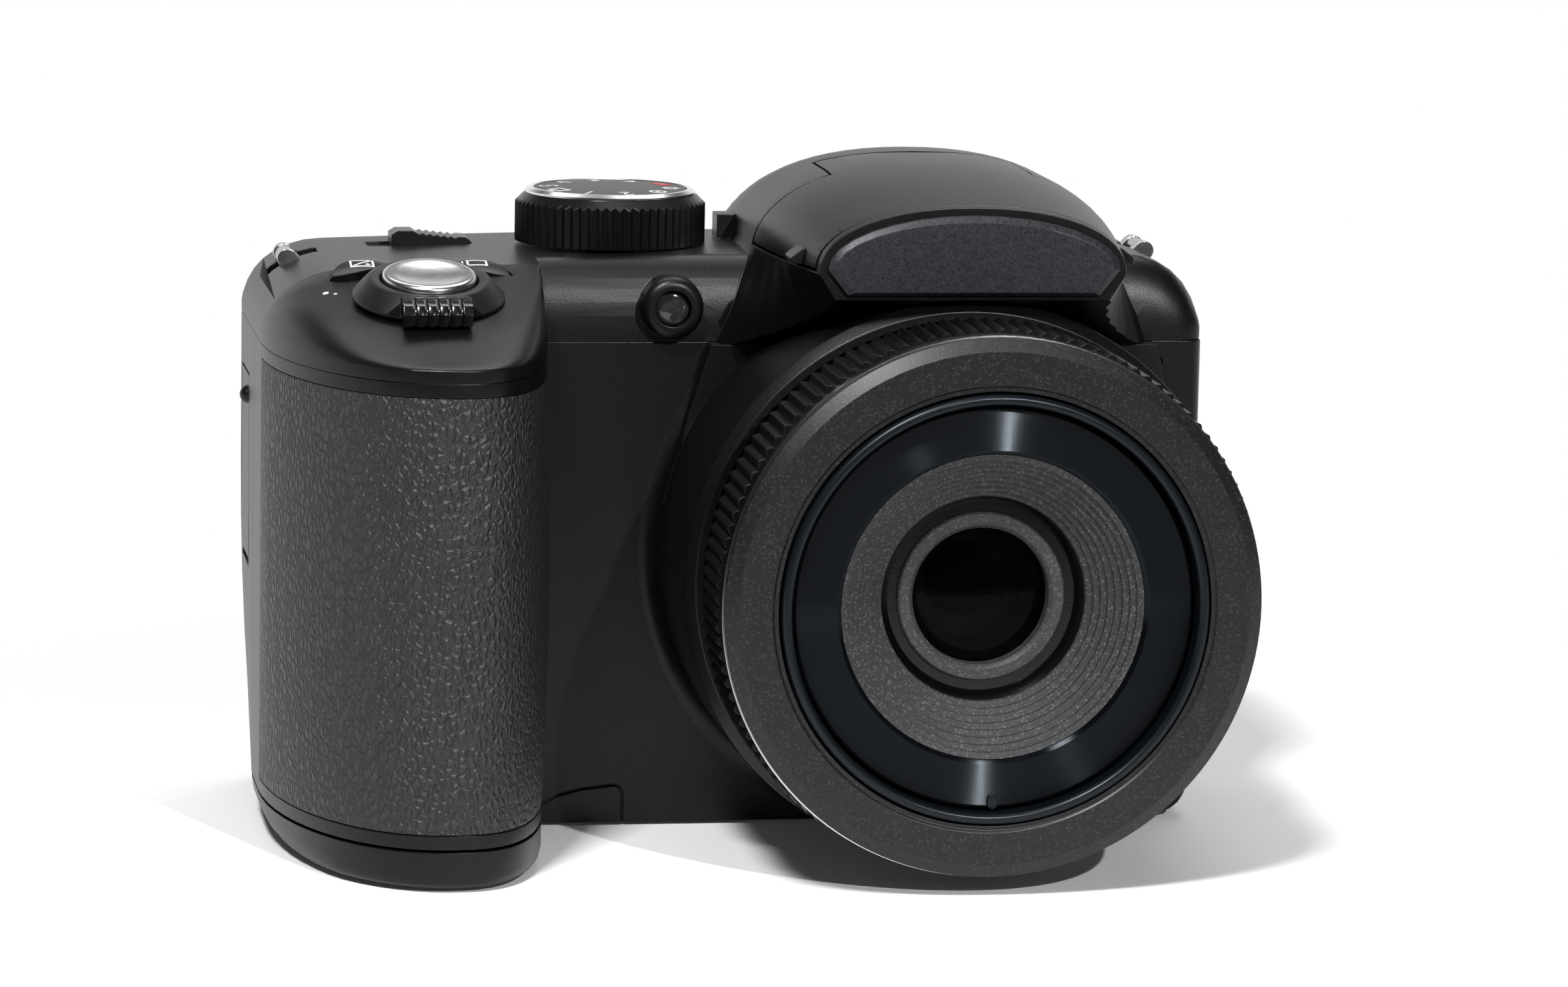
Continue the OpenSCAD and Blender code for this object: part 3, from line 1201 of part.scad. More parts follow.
// Latch of the door, a ribbed slider in its underside
latch_x = left_x + 15;
latch_y = 2;
latch_l = 9;
latch_w = 5;
latch_travel = 2.5;
module latch_space() {
  box([latch_x - latch_l / 2 - gap, latch_y - latch_w / 2 - gap, -1],
    [latch_x + latch_l / 2 + latch_travel + gap, latch_y + latch_w / 2 + gap, 0.7]);
  box([latch_x - 2 - gap, latch_y - 1 - gap, -1], [latch_x + 2 + latch_travel + gap, latch_y + 1 + gap, plate_t + 1]);
}
module door_latch() {
  color(black) {
    difference() {
      box([latch_x - latch_l / 2, latch_y - latch_w / 2, 0.1], [latch_x + latch_l / 2, latch_y + latch_w / 2, 0.6]);
      for (k = [-2 : 2]) box([latch_x + k * 1.5 - 0.3, latch_y - 2, -1], [latch_x + k * 1.5 + 0.3, latch_y + 2, 0.35]);
    }
    box([latch_x - 2, latch_y - 1, 0.5], [latch_x + 2, latch_y + 1, plate_t + 0.1]);
    box([latch_x - 3.5, latch_y - 2, plate_t + 0.1], [latch_x + 3.5, latch_y + 2, plate_t + 0.7]);
  }
}

// Card socket and card between the cells and the lens
card_x = flank_x + 2;
module card_socket() {
  color("#9a9da1") difference() {
    box([card_x - 1.1, face_y + wall + 0.3, 8], [card_x + 3.5, main_y - 0.2, 40]);
    box([card_x - 0.1, face_y + wall, 7], [card_x + 2.3, main_y, 37]);
  }
}
module memory_card() {
  color("#25406e") box([card_x, main_y - 24.5, 4.6], [card_x + 2.1, main_y - 0.5, 36.6]);
}

// Cover of the terminal on the grip side: a flap on a round foot, with a pull nub
module terminal_cover() {
  y0 = cover[0][0];
  y1 = cover[0][1];
  color(black) {
    box([left_x, y0, cover[1][0] + 1.2], [left_x + wall, y1, cover[1][1]]);
    rod_y(left_x + 1.2, cover[1][0] + 1.2, 1.2, y0, y1);
    translate([left_x + 0.2, (y0 + y1) / 2 - 3, cover[1][1] - 2.6]) sphere(r = 1.2);
  }
}
usb_z = (cover[1][0] + cover[1][1]) / 2;
module usb_socket() {
  color(steel) difference() {
    box([left_x + wall + 0.7, main_y - 3.2, usb_z - 4], [left_x + wall + 6.7, main_y - 0.2, usb_z + 4]);
    box([left_x + wall, main_y - 2.8, usb_z - 3.5], [left_x + wall + 5.7, main_y - 0.6, usb_z + 3.5]);
  }
}

front_shell();
grip_shell();
grip_rubber();
rear_shell();
top_cover();
hood_panel();
thumb_rest();
lamp_lens();
strap_lugs();
tripod_insert();
case_screws();
lens_housing();
knurled_ring();
trim_ring();
front_ring();
barrel_seal();
zoom_barrel_outer();
zoom_barrel_inner();
face_ring();
lens_baffle();
lens_retainer();
front_element();
rear_element();
image_sensor();
sensor_board();
zoom_drive();
flash_lid();
flash_lamp();
flash_window();
flash_pin();
flash_board();
flash_capacitor();
shutter_button();
zoom_lever();
mode_dial();
dial_plate();
power_slider();
drive_button();
exposure_button();
top_board();
record_button();
menu_button();
play_button();
delete_button();
pad_ring();
ok_button();
lcd_panel();
lcd_window();
main_board();
battery_cells();
battery_cradle();
battery_contacts();
battery_door();
door_contacts();
door_pin();
door_latch();
card_socket();
memory_card();
terminal_cover();
usb_socket();
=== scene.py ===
# %% [markdown]
# # A bridge camera, finished in Blender
# The CAD model gives every solid piece of the camera, at its real size and in its real place.
# This lesson adds what CAD leaves out: the light, the view, soft edges, mouldings that look moulded,
# rubber that looks like leather, glass, turned metal and the small printed marks.

# %% Load the CAD frame
import json
import math

import bpy
from mathutils import Matrix, Vector

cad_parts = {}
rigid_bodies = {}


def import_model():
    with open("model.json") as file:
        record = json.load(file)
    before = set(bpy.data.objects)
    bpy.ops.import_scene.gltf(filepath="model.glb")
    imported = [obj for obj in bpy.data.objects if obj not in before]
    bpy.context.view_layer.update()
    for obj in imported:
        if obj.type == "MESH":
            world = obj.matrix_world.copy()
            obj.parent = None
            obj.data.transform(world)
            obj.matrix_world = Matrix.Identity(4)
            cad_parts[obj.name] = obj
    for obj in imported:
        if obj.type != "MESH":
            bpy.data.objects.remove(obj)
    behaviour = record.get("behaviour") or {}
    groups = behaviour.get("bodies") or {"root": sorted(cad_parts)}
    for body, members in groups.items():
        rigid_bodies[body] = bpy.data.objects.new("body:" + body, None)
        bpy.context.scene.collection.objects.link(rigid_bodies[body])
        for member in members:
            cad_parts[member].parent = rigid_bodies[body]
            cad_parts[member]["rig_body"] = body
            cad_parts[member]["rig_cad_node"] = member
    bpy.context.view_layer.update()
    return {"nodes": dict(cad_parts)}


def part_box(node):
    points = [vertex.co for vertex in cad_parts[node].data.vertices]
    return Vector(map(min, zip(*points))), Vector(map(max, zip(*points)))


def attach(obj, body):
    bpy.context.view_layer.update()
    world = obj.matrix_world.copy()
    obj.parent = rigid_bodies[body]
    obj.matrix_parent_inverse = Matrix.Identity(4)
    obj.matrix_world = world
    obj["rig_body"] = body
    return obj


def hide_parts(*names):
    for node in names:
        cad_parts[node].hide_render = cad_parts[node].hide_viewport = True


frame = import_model()
parts = frame["nodes"]

# %% [markdown]
# ## The view
# The photograph was taken from a little over the camera's deck, from the side of the hand grip, with a
# long lens. Its place was worked out from the circles of the lens, so the numbers here are a position in
# millimetres and three turns in degrees: to the right, down, and a slight roll. A matrix made of the
# camera's own right, up and back directions places it in one step.

# %% The camera
MM = 0.001
VIEW_AT = Vector((-140.68, -745.52, 157.85)) * MM
TURN, DOWN, ROLL = (math.radians(a) for a in (9.54, 8.95, 1.15))
SENSOR_WIDE = 36
PICTURE_WIDE, FOCAL_LENGTH = 2408, 9210  # both in pixels of the photograph
ahead = Vector((math.sin(TURN) * math.cos(DOWN), math.cos(TURN) * math.cos(DOWN), -math.sin(DOWN)))
level = Vector((math.cos(TURN), -math.sin(TURN), 0))
over = level.cross(ahead)
right = math.cos(ROLL) * level + math.sin(ROLL) * over
up = math.cos(ROLL) * over - math.sin(ROLL) * level

bpy.ops.object.select_all(action="DESELECT")
bpy.ops.object.camera_add()
eye = bpy.context.object
eye.name = "photo_view"
eye.matrix_world = Matrix((
    (right.x, up.x, -ahead.x, VIEW_AT.x),
    (right.y, up.y, -ahead.y, VIEW_AT.y),
    (right.z, up.z, -ahead.z, VIEW_AT.z),
    (0, 0, 0, 1)))
eye.data.sensor_width = SENSOR_WIDE
eye.data.lens = SENSOR_WIDE * FOCAL_LENGTH / PICTURE_WIDE
eye.data.clip_start = 10 * MM
bpy.context.scene.camera = eye
print("Camera lens:", round(eye.data.lens, 1), "mm")

# %% [markdown]
# ## Colours and nodes
# Every colour is written as a web colour, which is sRGB, and Blender's shaders want linear light. One
# function does that sum. Another adds a node, sets it and links it in one line, which keeps a material's
# recipe short enough to read. The sockets of a Mix node are known by number, so its numbers get names.

# %% Helpers for materials
FACTOR, FIRST, SECOND, BLEND = 0, 6, 7, 2  # a Mix node for colours: three inputs and the output


def colour(code):
    """A web colour such as #1b1c1e as linear light."""
    steps = [int(code[k:k + 2], 16) / 255 for k in (1, 3, 5)]
    return tuple(c / 12.92 if c <= 0.04045 else ((c + 0.055) / 1.055) ** 2.4 for c in steps) + (1,)


def add(tree, kind, feeds=None, **settings):
    """A shader node: settings are its own options, feeds its sockets, each a value or another's output."""
    node = tree.nodes.new("ShaderNode" + kind)
    for name, value in settings.items():
        setattr(node, name, value)
    for name, value in (feeds or {}).items():
        if isinstance(value, bpy.types.NodeSocket):
            tree.links.new(value, node.inputs[name])
        else:
            node.inputs[name].default_value = value
    return node


def blank(name):
    """A new material with an empty tree."""
    made = bpy.data.materials.new(name)
    made.use_nodes = True
    made.node_tree.nodes.clear()
    return made, made.node_tree


print("Middle grey as linear light:", round(colour("#808080")[0], 3))

# %% [markdown]
# ## The studio
# The camera stands on a white sheet in a room that is dark behind the photographer, which is what keeps
# black plastic black. Away from the camera the sheet fades into plain white, so that the background is
# even, and near the camera it keeps the real shadows. Only the view, metal and glass see that white: all
# other rays meet plain paper.

# %% The sheet
SHEET_WIDE, SHEET_LONG, SHEET_MIDDLE = 3.2, 2.7, 1.1
SHEET_UNDER = 0.4 * MM
PAPER_UNTIL, WHITE_FROM = 0.085, 0.16  # metres from the middle of the camera
PAPER_GLOW = 0.02

bpy.ops.object.select_all(action="DESELECT")
bpy.ops.mesh.primitive_plane_add(size=1, location=(0, SHEET_MIDDLE, -SHEET_UNDER))
sheet = bpy.context.object
sheet.name = "studio_sheet"
bpy.ops.transform.resize(value=(SHEET_WIDE, SHEET_LONG, 1))
bpy.ops.object.transform_apply(location=True, rotation=True, scale=True)
sweep, tree = blank("white_sheet")
place = add(tree, "TexCoord")
flat = add(tree, "VectorMath", {0: place.outputs["Object"], 1: (1, 1, 0)}, operation="MULTIPLY")
away = add(tree, "VectorMath", {0: flat.outputs[0]}, operation="LENGTH")
fade = add(tree, "MapRange", {"Value": away.outputs["Value"], "From Min": PAPER_UNTIL,
                              "From Max": WHITE_FROM}, interpolation_type="SMOOTHSTEP")
paper = add(tree, "BsdfDiffuse", {"Color": colour("#f1f1f1")})
glow = add(tree, "Emission", {"Color": colour("#ffffff"), "Strength": PAPER_GLOW})
lit = add(tree, "AddShader", {0: paper.outputs[0], 1: glow.outputs[0]})
white = add(tree, "Emission", {"Color": colour("#ffffff"), "Strength": 1.0})
even = add(tree, "MixShader", {0: fade.outputs[0], 1: lit.outputs[0], 2: white.outputs[0]})
rays = add(tree, "LightPath")
seen = add(tree, "Math", {0: rays.outputs["Is Camera Ray"], 1: rays.outputs["Is Glossy Ray"]},
           operation="MAXIMUM")
seen = add(tree, "Math", {0: seen.outputs[0], 1: rays.outputs["Is Transmission Ray"]}, operation="MAXIMUM")
chosen = add(tree, "MixShader", {0: seen.outputs[0], 1: paper.outputs[0], 2: even.outputs[0]})
add(tree, "OutputMaterial", {"Surface": chosen.outputs[0]})
sheet.data.materials.append(sweep)
print("Sheet:", [round(v, 2) for v in sheet.dimensions], "m")

# %% [markdown]
# ## The room and its lamps
# The view sees a white room. Metal and glass see white only low down behind the camera, and near darkness
# elsewhere. Four lamps light the camera: the left key throws the shadow to the right, the small right key
# draws the streaks on the turned ring, and a panel above and a strip at the back put a sheen on the deck
# and the hump.

# %% The room
ROOM_LIGHT, ROOM_DARK, CEILING = 0.07, 0.02, 0.1
BACK_STARTS, BACK_FULL = -0.1, 0.6  # along Y, on a sphere of radius 1
LOW_UNTIL, HIGH_FROM = 0.25, 0.55   # along Z

room = bpy.data.worlds.new("studio_room")
bpy.context.scene.world = room
room.use_nodes = True
tree = room.node_tree
tree.nodes.clear()
place = add(tree, "TexCoord")
along = add(tree, "SeparateXYZ", {0: place.outputs["Generated"]})
behind = add(tree, "MapRange", {"Value": along.outputs["Y"], "From Min": BACK_STARTS, "From Max": BACK_FULL},
             interpolation_type="SMOOTHSTEP")
low = add(tree, "MapRange", {"Value": along.outputs["Z"], "From Min": LOW_UNTIL, "From Max": HIGH_FROM,
                             "To Min": 1.0, "To Max": CEILING}, interpolation_type="SMOOTHSTEP")
backdrop = add(tree, "Math", {0: behind.outputs[0], 1: low.outputs[0]}, operation="MULTIPLY")
backdrop = add(tree, "Math", {0: backdrop.outputs[0], 1: ROOM_DARK}, operation="MAXIMUM")
rays = add(tree, "LightPath")
shiny = add(tree, "Math", {0: rays.outputs["Is Glossy Ray"], 1: rays.outputs["Is Transmission Ray"]},
            operation="MAXIMUM")
soft = add(tree, "Mix", {0: shiny.outputs[0], 2: ROOM_LIGHT, 3: backdrop.outputs[0]}, data_type="FLOAT")
strength = add(tree, "Math", {0: soft.outputs[0], 1: rays.outputs["Is Camera Ray"]}, operation="MAXIMUM")
light = add(tree, "Background", {"Color": colour("#ffffff"), "Strength": strength.outputs[0]})
add(tree, "OutputWorld", {"Surface": light.outputs[0]})
bpy.context.scene.view_settings.view_transform = "Standard"
print("Room:", room.name)

# %% Four lamps: name, place, width and height in metres, power in watts
MIDDLE = Vector((-0.02, -0.02, 0.04))

for name, at, wide, high, watts in (
        ("key_left", (-0.30, -0.56, 0.80), 0.14, 0.14, 9.5),
        ("key_right", (0.22, -0.84, 0.50), 0.014, 0.014, 5.5),
        ("top_panel", (0.12, 0.12, 0.9), 0.3, 0.8, 1.9),
        ("back_strip", (0.0, 0.5, 0.8), 0.7, 0.2, 1.8)):
    bpy.ops.object.light_add(type="AREA", location=at)
    lamp = bpy.context.object
    lamp.name = name
    lamp.data.shape = "RECTANGLE"
    lamp.data.size = wide
    lamp.data.size_y = high
    lamp.data.energy = watts
    lamp.rotation_euler = (MIDDLE - Vector(at)).to_track_quat("-Z", "Y").to_euler()

# %% [markdown]
# ## Moulded black plastic
# The body is ABS, moulded in a steel tool whose face was spark-eroded. That leaves a fine, even grain, so
# the plastic is black but never mirror-like, and its highlights are broad and soft. The real grain is about
# 0.1 mm, which is finer than a pixel here, so it is drawn at 0.22 mm. Its pits hold some light back, so an
# IOR below the 1.5 of plain ABS matches it. Rings and keys come from a smoother tool. There a Bevel node
# rounds the edges, because a perfectly sharp edge never catches the light. The large mouldings get edges
# that are really rounded, further down.

# %% ABS, spark-eroded and smooth
CLOUD = 9 * MM
GRAIN_SPREAD = 0.07


def grain_bump(tree, size, height, edge=0.0):
    """The normal of a grained surface: grains of that size and height, edges rounded, all in millimetres."""
    place = add(tree, "TexCoord")
    grains = add(tree, "TexNoise", {"Vector": place.outputs["Object"], "Scale": 1 / (size * MM),
                                    "Detail": 2.0})
    bump = add(tree, "Bump", {"Strength": 1.0, "Distance": height * MM, "Height": grains.outputs[0]})
    if edge:
        rounded = add(tree, "Bevel", {"Radius": edge * MM}, samples=4)
        tree.links.new(rounded.outputs[0], bump.inputs["Normal"])
    return bump.outputs[0], place, grains


def black_plastic(name, dark, light, rough, size, height, edge=0.0):
    """A black moulding: two close blacks in large clouds, and roughness that follows the grain."""
    made, tree = blank(name)
    normal, place, grains = grain_bump(tree, size, height, edge)
    clouds = add(tree, "TexNoise", {"Vector": place.outputs["Object"], "Scale": 1 / CLOUD, "Detail": 3.0})
    tone = add(tree, "Mix", {FACTOR: clouds.outputs[0], FIRST: colour(dark), SECOND: colour(light)},
               data_type="RGBA")
    dull = add(tree, "MapRange", {"Value": grains.outputs[0], "To Min": rough - GRAIN_SPREAD,
                                  "To Max": rough + GRAIN_SPREAD})
    shader = add(tree, "BsdfPrincipled", {"Base Color": tone.outputs[BLEND], "Roughness": dull.outputs[0],
                                          "IOR": 1.38, "Normal": normal})
    add(tree, "OutputMaterial", {"Surface": shader.outputs[0]})
    return made


eroded_abs = black_plastic("eroded_black_abs", "#060607", "#0a0a0b", 0.37, 0.22, 0.014)
smooth_abs = black_plastic("smooth_black_abs", "#08090a", "#0c0d0e", 0.32, 0.4, 0.004, 0.2)
print("Plastics:", eroded_abs.name, smooth_abs.name)

# %% [markdown]
# ## The lever's two finishes
# The zoom lever is one moulding, but the tool was polished where the finger pulls: the ribbed tab is glossy
# and the cone round the shutter button is satin. The tab is the part in front of a line across the lever,
# so one comparison along Y chooses between the two roughnesses.

# %% Satin cone, glossy tab
TAB_LONG = 4.6 * MM
CONE_ROUGH, TAB_ROUGH = 0.44, 0.17

lever_plastic, tree = blank("two_finish_lever_abs")
normal, place, grains = grain_bump(tree, 0.3, 0.006)
along = add(tree, "SeparateXYZ", {0: place.outputs["Object"]})
tab = add(tree, "Math", {0: along.outputs["Y"], 1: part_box("zoom_lever")[0].y + TAB_LONG},
          operation="LESS_THAN")
tone = add(tree, "Mix", {FACTOR: grains.outputs[0], FIRST: colour("#0b0b0c"), SECOND: colour("#101112")},
           data_type="RGBA")
dull = add(tree, "MapRange", {"Value": tab.outputs[0], "To Min": CONE_ROUGH, "To Max": TAB_ROUGH})
shader = add(tree, "BsdfPrincipled", {"Base Color": tone.outputs[BLEND], "Roughness": dull.outputs[0],
                                      "IOR": 1.5, "Normal": normal})
add(tree, "OutputMaterial", {"Surface": shader.outputs[0]})
print("Lever finish:", lever_plastic.name)

# %% [markdown]
# ## Satin paint on the hood
# The panel over the lens is painted with a satin black that holds fine flakes. Each flake lies at its own
# small angle, so the panel sparkles a little. Cells of a Voronoi pattern, each with its own colour, tilt the
# normal and change the shine flake by flake. Flakes are really finer than 0.1 mm, and are drawn at 0.2 mm so
# that they show.

# %% Flake paint
FLAKE = 0.2 * MM

flake_paint, tree = blank("satin_flake_paint")
place = add(tree, "TexCoord")
flakes = add(tree, "TexVoronoi", {"Vector": place.outputs["Object"], "Scale": 1 / FLAKE})
tilted = add(tree, "Bump", {"Strength": 0.4, "Distance": 0.012 * MM, "Height": flakes.outputs["Color"]})
tone = add(tree, "Mix", {FACTOR: flakes.outputs["Color"], FIRST: colour("#17181b"),
                         SECOND: colour("#303237")}, data_type="RGBA")
shine = add(tree, "MapRange", {"Value": flakes.outputs["Color"], "To Min": 0.36, "To Max": 0.52})
shader = add(tree, "BsdfPrincipled", {"Base Color": tone.outputs[BLEND], "Metallic": 0.3,
                                      "Roughness": shine.outputs[0], "Normal": tilted.outputs[0]})
add(tree, "OutputMaterial", {"Surface": shader.outputs[0]})
print("Hood paint:", flake_paint.name)

# %% [markdown]
# ## Leather-grained rubber
# The skin of the grip is thermoplastic rubber with a grain like hide: low pebbles under a millimetre wide,
# parted by narrow creases, a little taller than wide. Distance to the edge of a Voronoi cell gives pebbles
# with creases between them, noise bends the cells so that none is straight, and a second finer noise roughs
# the top of each pebble. The creases are mostly relief, and the rubber is close to one colour, but the
# creases are painted a little darker than the pebble tops, which is painted shade.

# %% Hide-grained rubber
PEBBLE, CREASE_BEND, BEND_EVERY, PORE, GRAIN_DEEP = (v * MM for v in (0.85, 0.9, 1.1, 0.25, 0.17))
PEBBLE_TALL = 0.62
DOME_EDGE, PORE_SHARE = 0.3, 0.4

hide_rubber, tree = blank("hide_grained_rubber")
place = add(tree, "TexCoord")
stretch = add(tree, "Mapping", {"Vector": place.outputs["Object"], "Scale": (1, 1, PEBBLE_TALL)})
wander = add(tree, "TexNoise", {"Vector": stretch.outputs[0], "Scale": 1 / BEND_EVERY, "Detail": 2.0})
shove = add(tree, "VectorMath", {0: wander.outputs["Color"], 1: (0.5, 0.5, 0.5)}, operation="SUBTRACT")
shove = add(tree, "VectorMath", {0: shove.outputs[0], "Scale": CREASE_BEND}, operation="SCALE")
bent = add(tree, "VectorMath", {0: stretch.outputs[0], 1: shove.outputs[0]}, operation="ADD")
pebbles = add(tree, "TexVoronoi", {"Vector": bent.outputs[0], "Scale": 1 / PEBBLE},
              feature="DISTANCE_TO_EDGE")
domes = add(tree, "MapRange", {"Value": pebbles.outputs[0], "From Max": DOME_EDGE},
            interpolation_type="SMOOTHSTEP")
pores = add(tree, "TexNoise", {"Vector": place.outputs["Object"], "Scale": 1 / PORE, "Detail": 2.0})
height = add(tree, "Math", {0: pores.outputs[0], 1: PORE_SHARE, 2: domes.outputs[0]},
             operation="MULTIPLY_ADD")
bump = add(tree, "Bump", {"Strength": 1.0, "Distance": GRAIN_DEEP, "Height": height.outputs[0]})
# Painted shade: the colour is a little darker in the creases than on the pebble tops.
tone = add(tree, "Mix", {FACTOR: domes.outputs[0], FIRST: colour("#1c1c1d"), SECOND: colour("#262627")},
           data_type="RGBA")
dull = add(tree, "MapRange", {"Value": domes.outputs[0], "To Min": 0.56, "To Max": 0.4})
shader = add(tree, "BsdfPrincipled", {"Base Color": tone.outputs[BLEND], "Roughness": dull.outputs[0],
                                      "IOR": 1.5, "Normal": bump.outputs[0]})
add(tree, "OutputMaterial", {"Surface": shader.outputs[0]})
print("Rubber:", hide_rubber.name, "with pebbles of", PEBBLE / MM, "mm")

# %% [markdown]
# ## Turned and anodised metal
# The rings of the lens are turned on a lathe, which leaves fine circles round the axis, and then anodised or
# painted black. A pattern that depends only on the distance from the axis draws those circles. The lens axis
# runs along Y at a height of 34.5 mm, so the distance is worked out from X and Z. The flanks of the grooves
# lean in and out, which pulls each lamp's reflection out into a radial streak: on the face ring the lean
# grows from one wall of a groove to the other. Its grooves are about 0.02 mm apart and only their streak is
# seen.

# %% Rings of the lens
LENS_HIGH = 34.5 * MM
TURNED_SPREAD = 0.05
QUARTER = 0.25  # of a full turn: the streak runs across the grooves


def turned_metal(name, dark, light, metal, rough, pitch, height, streak=0.0, fan=0.0):
    """A ring turned about the lens axis: pitch and height of its grooves in millimetres, lean up to fan."""
    made, tree = blank(name)
    place = add(tree, "TexCoord")
    centred = add(tree, "Mapping", {"Vector": place.outputs["Object"], "Location": (0, 0, -LENS_HIGH)})
    flat = add(tree, "VectorMath", {0: centred.outputs[0], 1: (1, 0, 1)}, operation="MULTIPLY")
    radius = add(tree, "VectorMath", {0: flat.outputs[0]}, operation="LENGTH")
    count = add(tree, "Math", {0: radius.outputs["Value"], 1: 1 / (pitch * MM)}, operation="MULTIPLY")
    circles = add(tree, "TexNoise", {"W": count.outputs[0], "Scale": 1.0, "Detail": 2.0},
                  noise_dimensions="1D")
    normal = add(tree, "Bump", {"Strength": 1.0, "Distance": height * MM, "Height": circles.outputs[0]})
    tone = add(tree, "Mix", {FACTOR: circles.outputs[0], FIRST: colour(dark), SECOND: colour(light)},
               data_type="RGBA")
    shine = add(tree, "MapRange", {"Value": circles.outputs[0], "To Min": rough - TURNED_SPREAD,
                                   "To Max": rough + TURNED_SPREAD})
    if fan:
        outward = add(tree, "VectorMath", {0: flat.outputs[0]}, operation="NORMALIZE")
        across = add(tree, "Math", {0: count.outputs[0]}, operation="FRACT")
        lean = add(tree, "MapRange", {"Value": across.outputs[0], "To Min": -fan, "To Max": fan})
        leaning = add(tree, "VectorMath", {0: outward.outputs[0], "Scale": lean.outputs[0]},
                      operation="SCALE")
        facing = add(tree, "NewGeometry")
        tipped = add(tree, "VectorMath", {0: facing.outputs["Normal"], 1: leaning.outputs[0]},
                     operation="ADD")
        normal = add(tree, "VectorMath", {0: tipped.outputs[0]}, operation="NORMALIZE")
    round_axis = add(tree, "Tangent", direction_type="RADIAL", axis="Y")
    shader = add(tree, "BsdfPrincipled", {"Base Color": tone.outputs[BLEND], "Metallic": metal,
                                          "Roughness": shine.outputs[0], "Anisotropic": streak,
                                          "Anisotropic Rotation": QUARTER, "Normal": normal.outputs[0],
                                          "Tangent": round_axis.outputs[0]})
    add(tree, "OutputMaterial", {"Surface": shader.outputs[0]})
    return made


bright_line = turned_metal("bright_turned_line", "#c4c7ca", "#e4e6e8", 1.0, 0.16, 0.2, 0.002)
barrel_metal = turned_metal("blued_barrel", "#12161b", "#1a2027", 0.6, 0.32, 0.25, 0.002)
face_metal = turned_metal("blued_face_ring", "#14171a", "#1c2024", 0.8, 0.21, 0.02, 0.0001, 1.0, 0.42)
print("Turned finishes:", bright_line.name, barrel_metal.name, face_metal.name)

# %% [markdown]
# ## Flecked paint
# The front ring, the stepped baffle and the ring that holds the glass are sprayed with a matt paint that
# holds a few bright flecks. A Voronoi pattern gives every grain a random value, and only the highest values
# turn light. The throat of the baffle, near the axis, is left in gloss black, so the material asks how far a
# point is from the lens axis. Flecks are really finer than 0.1 mm, and are drawn at 0.2 mm so that they show.

# %% Matt paint with flecks
FLECK, SPRAY, SPRAY_HIGH = (v * MM for v in (0.2, 0.3, 0.008))
FEW_FROM, FEW_FULL = 0.68, 0.9
BAFFLE_THROAT = 12.35


def flecked_paint(name, dark, light, fleck, rough, throat=0.0):
    """Matt paint with sparse flecks; gloss black nearer to the lens axis than throat, in millimetres."""
    made, tree = blank(name)
    place = add(tree, "TexCoord")
    flecks = add(tree, "TexVoronoi", {"Vector": place.outputs["Object"], "Scale": 1 / FLECK})
    sparse = add(tree, "MapRange", {"Value": flecks.outputs["Color"], "From Min": FEW_FROM,
                                    "From Max": FEW_FULL})
    grains = add(tree, "TexNoise", {"Vector": place.outputs["Object"], "Scale": 1 / SPRAY, "Detail": 2.0})
    paint = add(tree, "Mix", {FACTOR: grains.outputs[0], FIRST: colour(dark), SECOND: colour(light)},
                data_type="RGBA")
    tone = add(tree, "Mix", {FACTOR: sparse.outputs[0], FIRST: paint.outputs[BLEND], SECOND: colour(fleck)},
               data_type="RGBA")
    centred = add(tree, "Mapping", {"Vector": place.outputs["Object"], "Location": (0, 0, -LENS_HIGH)})
    flat = add(tree, "VectorMath", {0: centred.outputs[0], 1: (1, 0, 1)}, operation="MULTIPLY")
    radius = add(tree, "VectorMath", {0: flat.outputs[0]}, operation="LENGTH")
    deep = add(tree, "Math", {0: radius.outputs["Value"], 1: throat * MM}, operation="LESS_THAN")
    tone = add(tree, "Mix", {FACTOR: deep.outputs[0], FIRST: tone.outputs[BLEND], SECOND: colour("#060607")},
               data_type="RGBA")
    shine = add(tree, "MapRange", {"Value": deep.outputs[0], "To Min": rough, "To Max": 0.2})
    bump = add(tree, "Bump", {"Strength": 1.0, "Distance": SPRAY_HIGH, "Height": grains.outputs[0]})
    shader = add(tree, "BsdfPrincipled", {"Base Color": tone.outputs[BLEND], "Roughness": shine.outputs[0],
                                          "IOR": 1.45, "Normal": bump.outputs[0]})
    add(tree, "OutputMaterial", {"Surface": shader.outputs[0]})
    return made


ring_paint = flecked_paint("satin_ring_paint", "#0d0e0f", "#131415", "#2c2d2e", 0.4)
baffle_grey = flecked_paint("matt_baffle_paint", "#202223", "#28292b", "#505254", 0.6, BAFFLE_THROAT)
retainer_grey = flecked_paint("matt_retainer_paint", "#2c2d2f", "#343537", "#505254", 0.55)
blackened = flecked_paint("blackened_throat", "#040405", "#070708", "#0a0a0b", 0.34)
print("Paints:", ring_paint.name, baffle_grey.name, retainer_grey.name, blackened.name)

# %% [markdown]
# ## Coated glass
# A camera lens is coated so that it reflects little, and what it reflects is tinted. From outside it looks
# nearly black, and a little of the rings behind it shows through. A dark clear dielectric does that: alpha
# lets part of the view and of the light pass straight through, and a low IOR stands for the coat, which cuts
# the reflection of plain glass from four per cent to less than one. The small glass inside has a green coat.

# %% Front and inner glass
coated_glass, tree = blank("coated_glass")
place = add(tree, "TexCoord")
haze = add(tree, "TexNoise", {"Vector": place.outputs["Object"], "Scale": 1 / (4 * MM), "Detail": 1.0})
depth = add(tree, "Mix", {FACTOR: haze.outputs[0], FIRST: colour("#020303"), SECOND: colour("#040706")},
            data_type="RGBA")
shader = add(tree, "BsdfPrincipled", {"Base Color": depth.outputs[BLEND], "Roughness": 0.02, "IOR": 1.17,
                                      "Alpha": 0.5})
add(tree, "OutputMaterial", {"Surface": shader.outputs[0]})

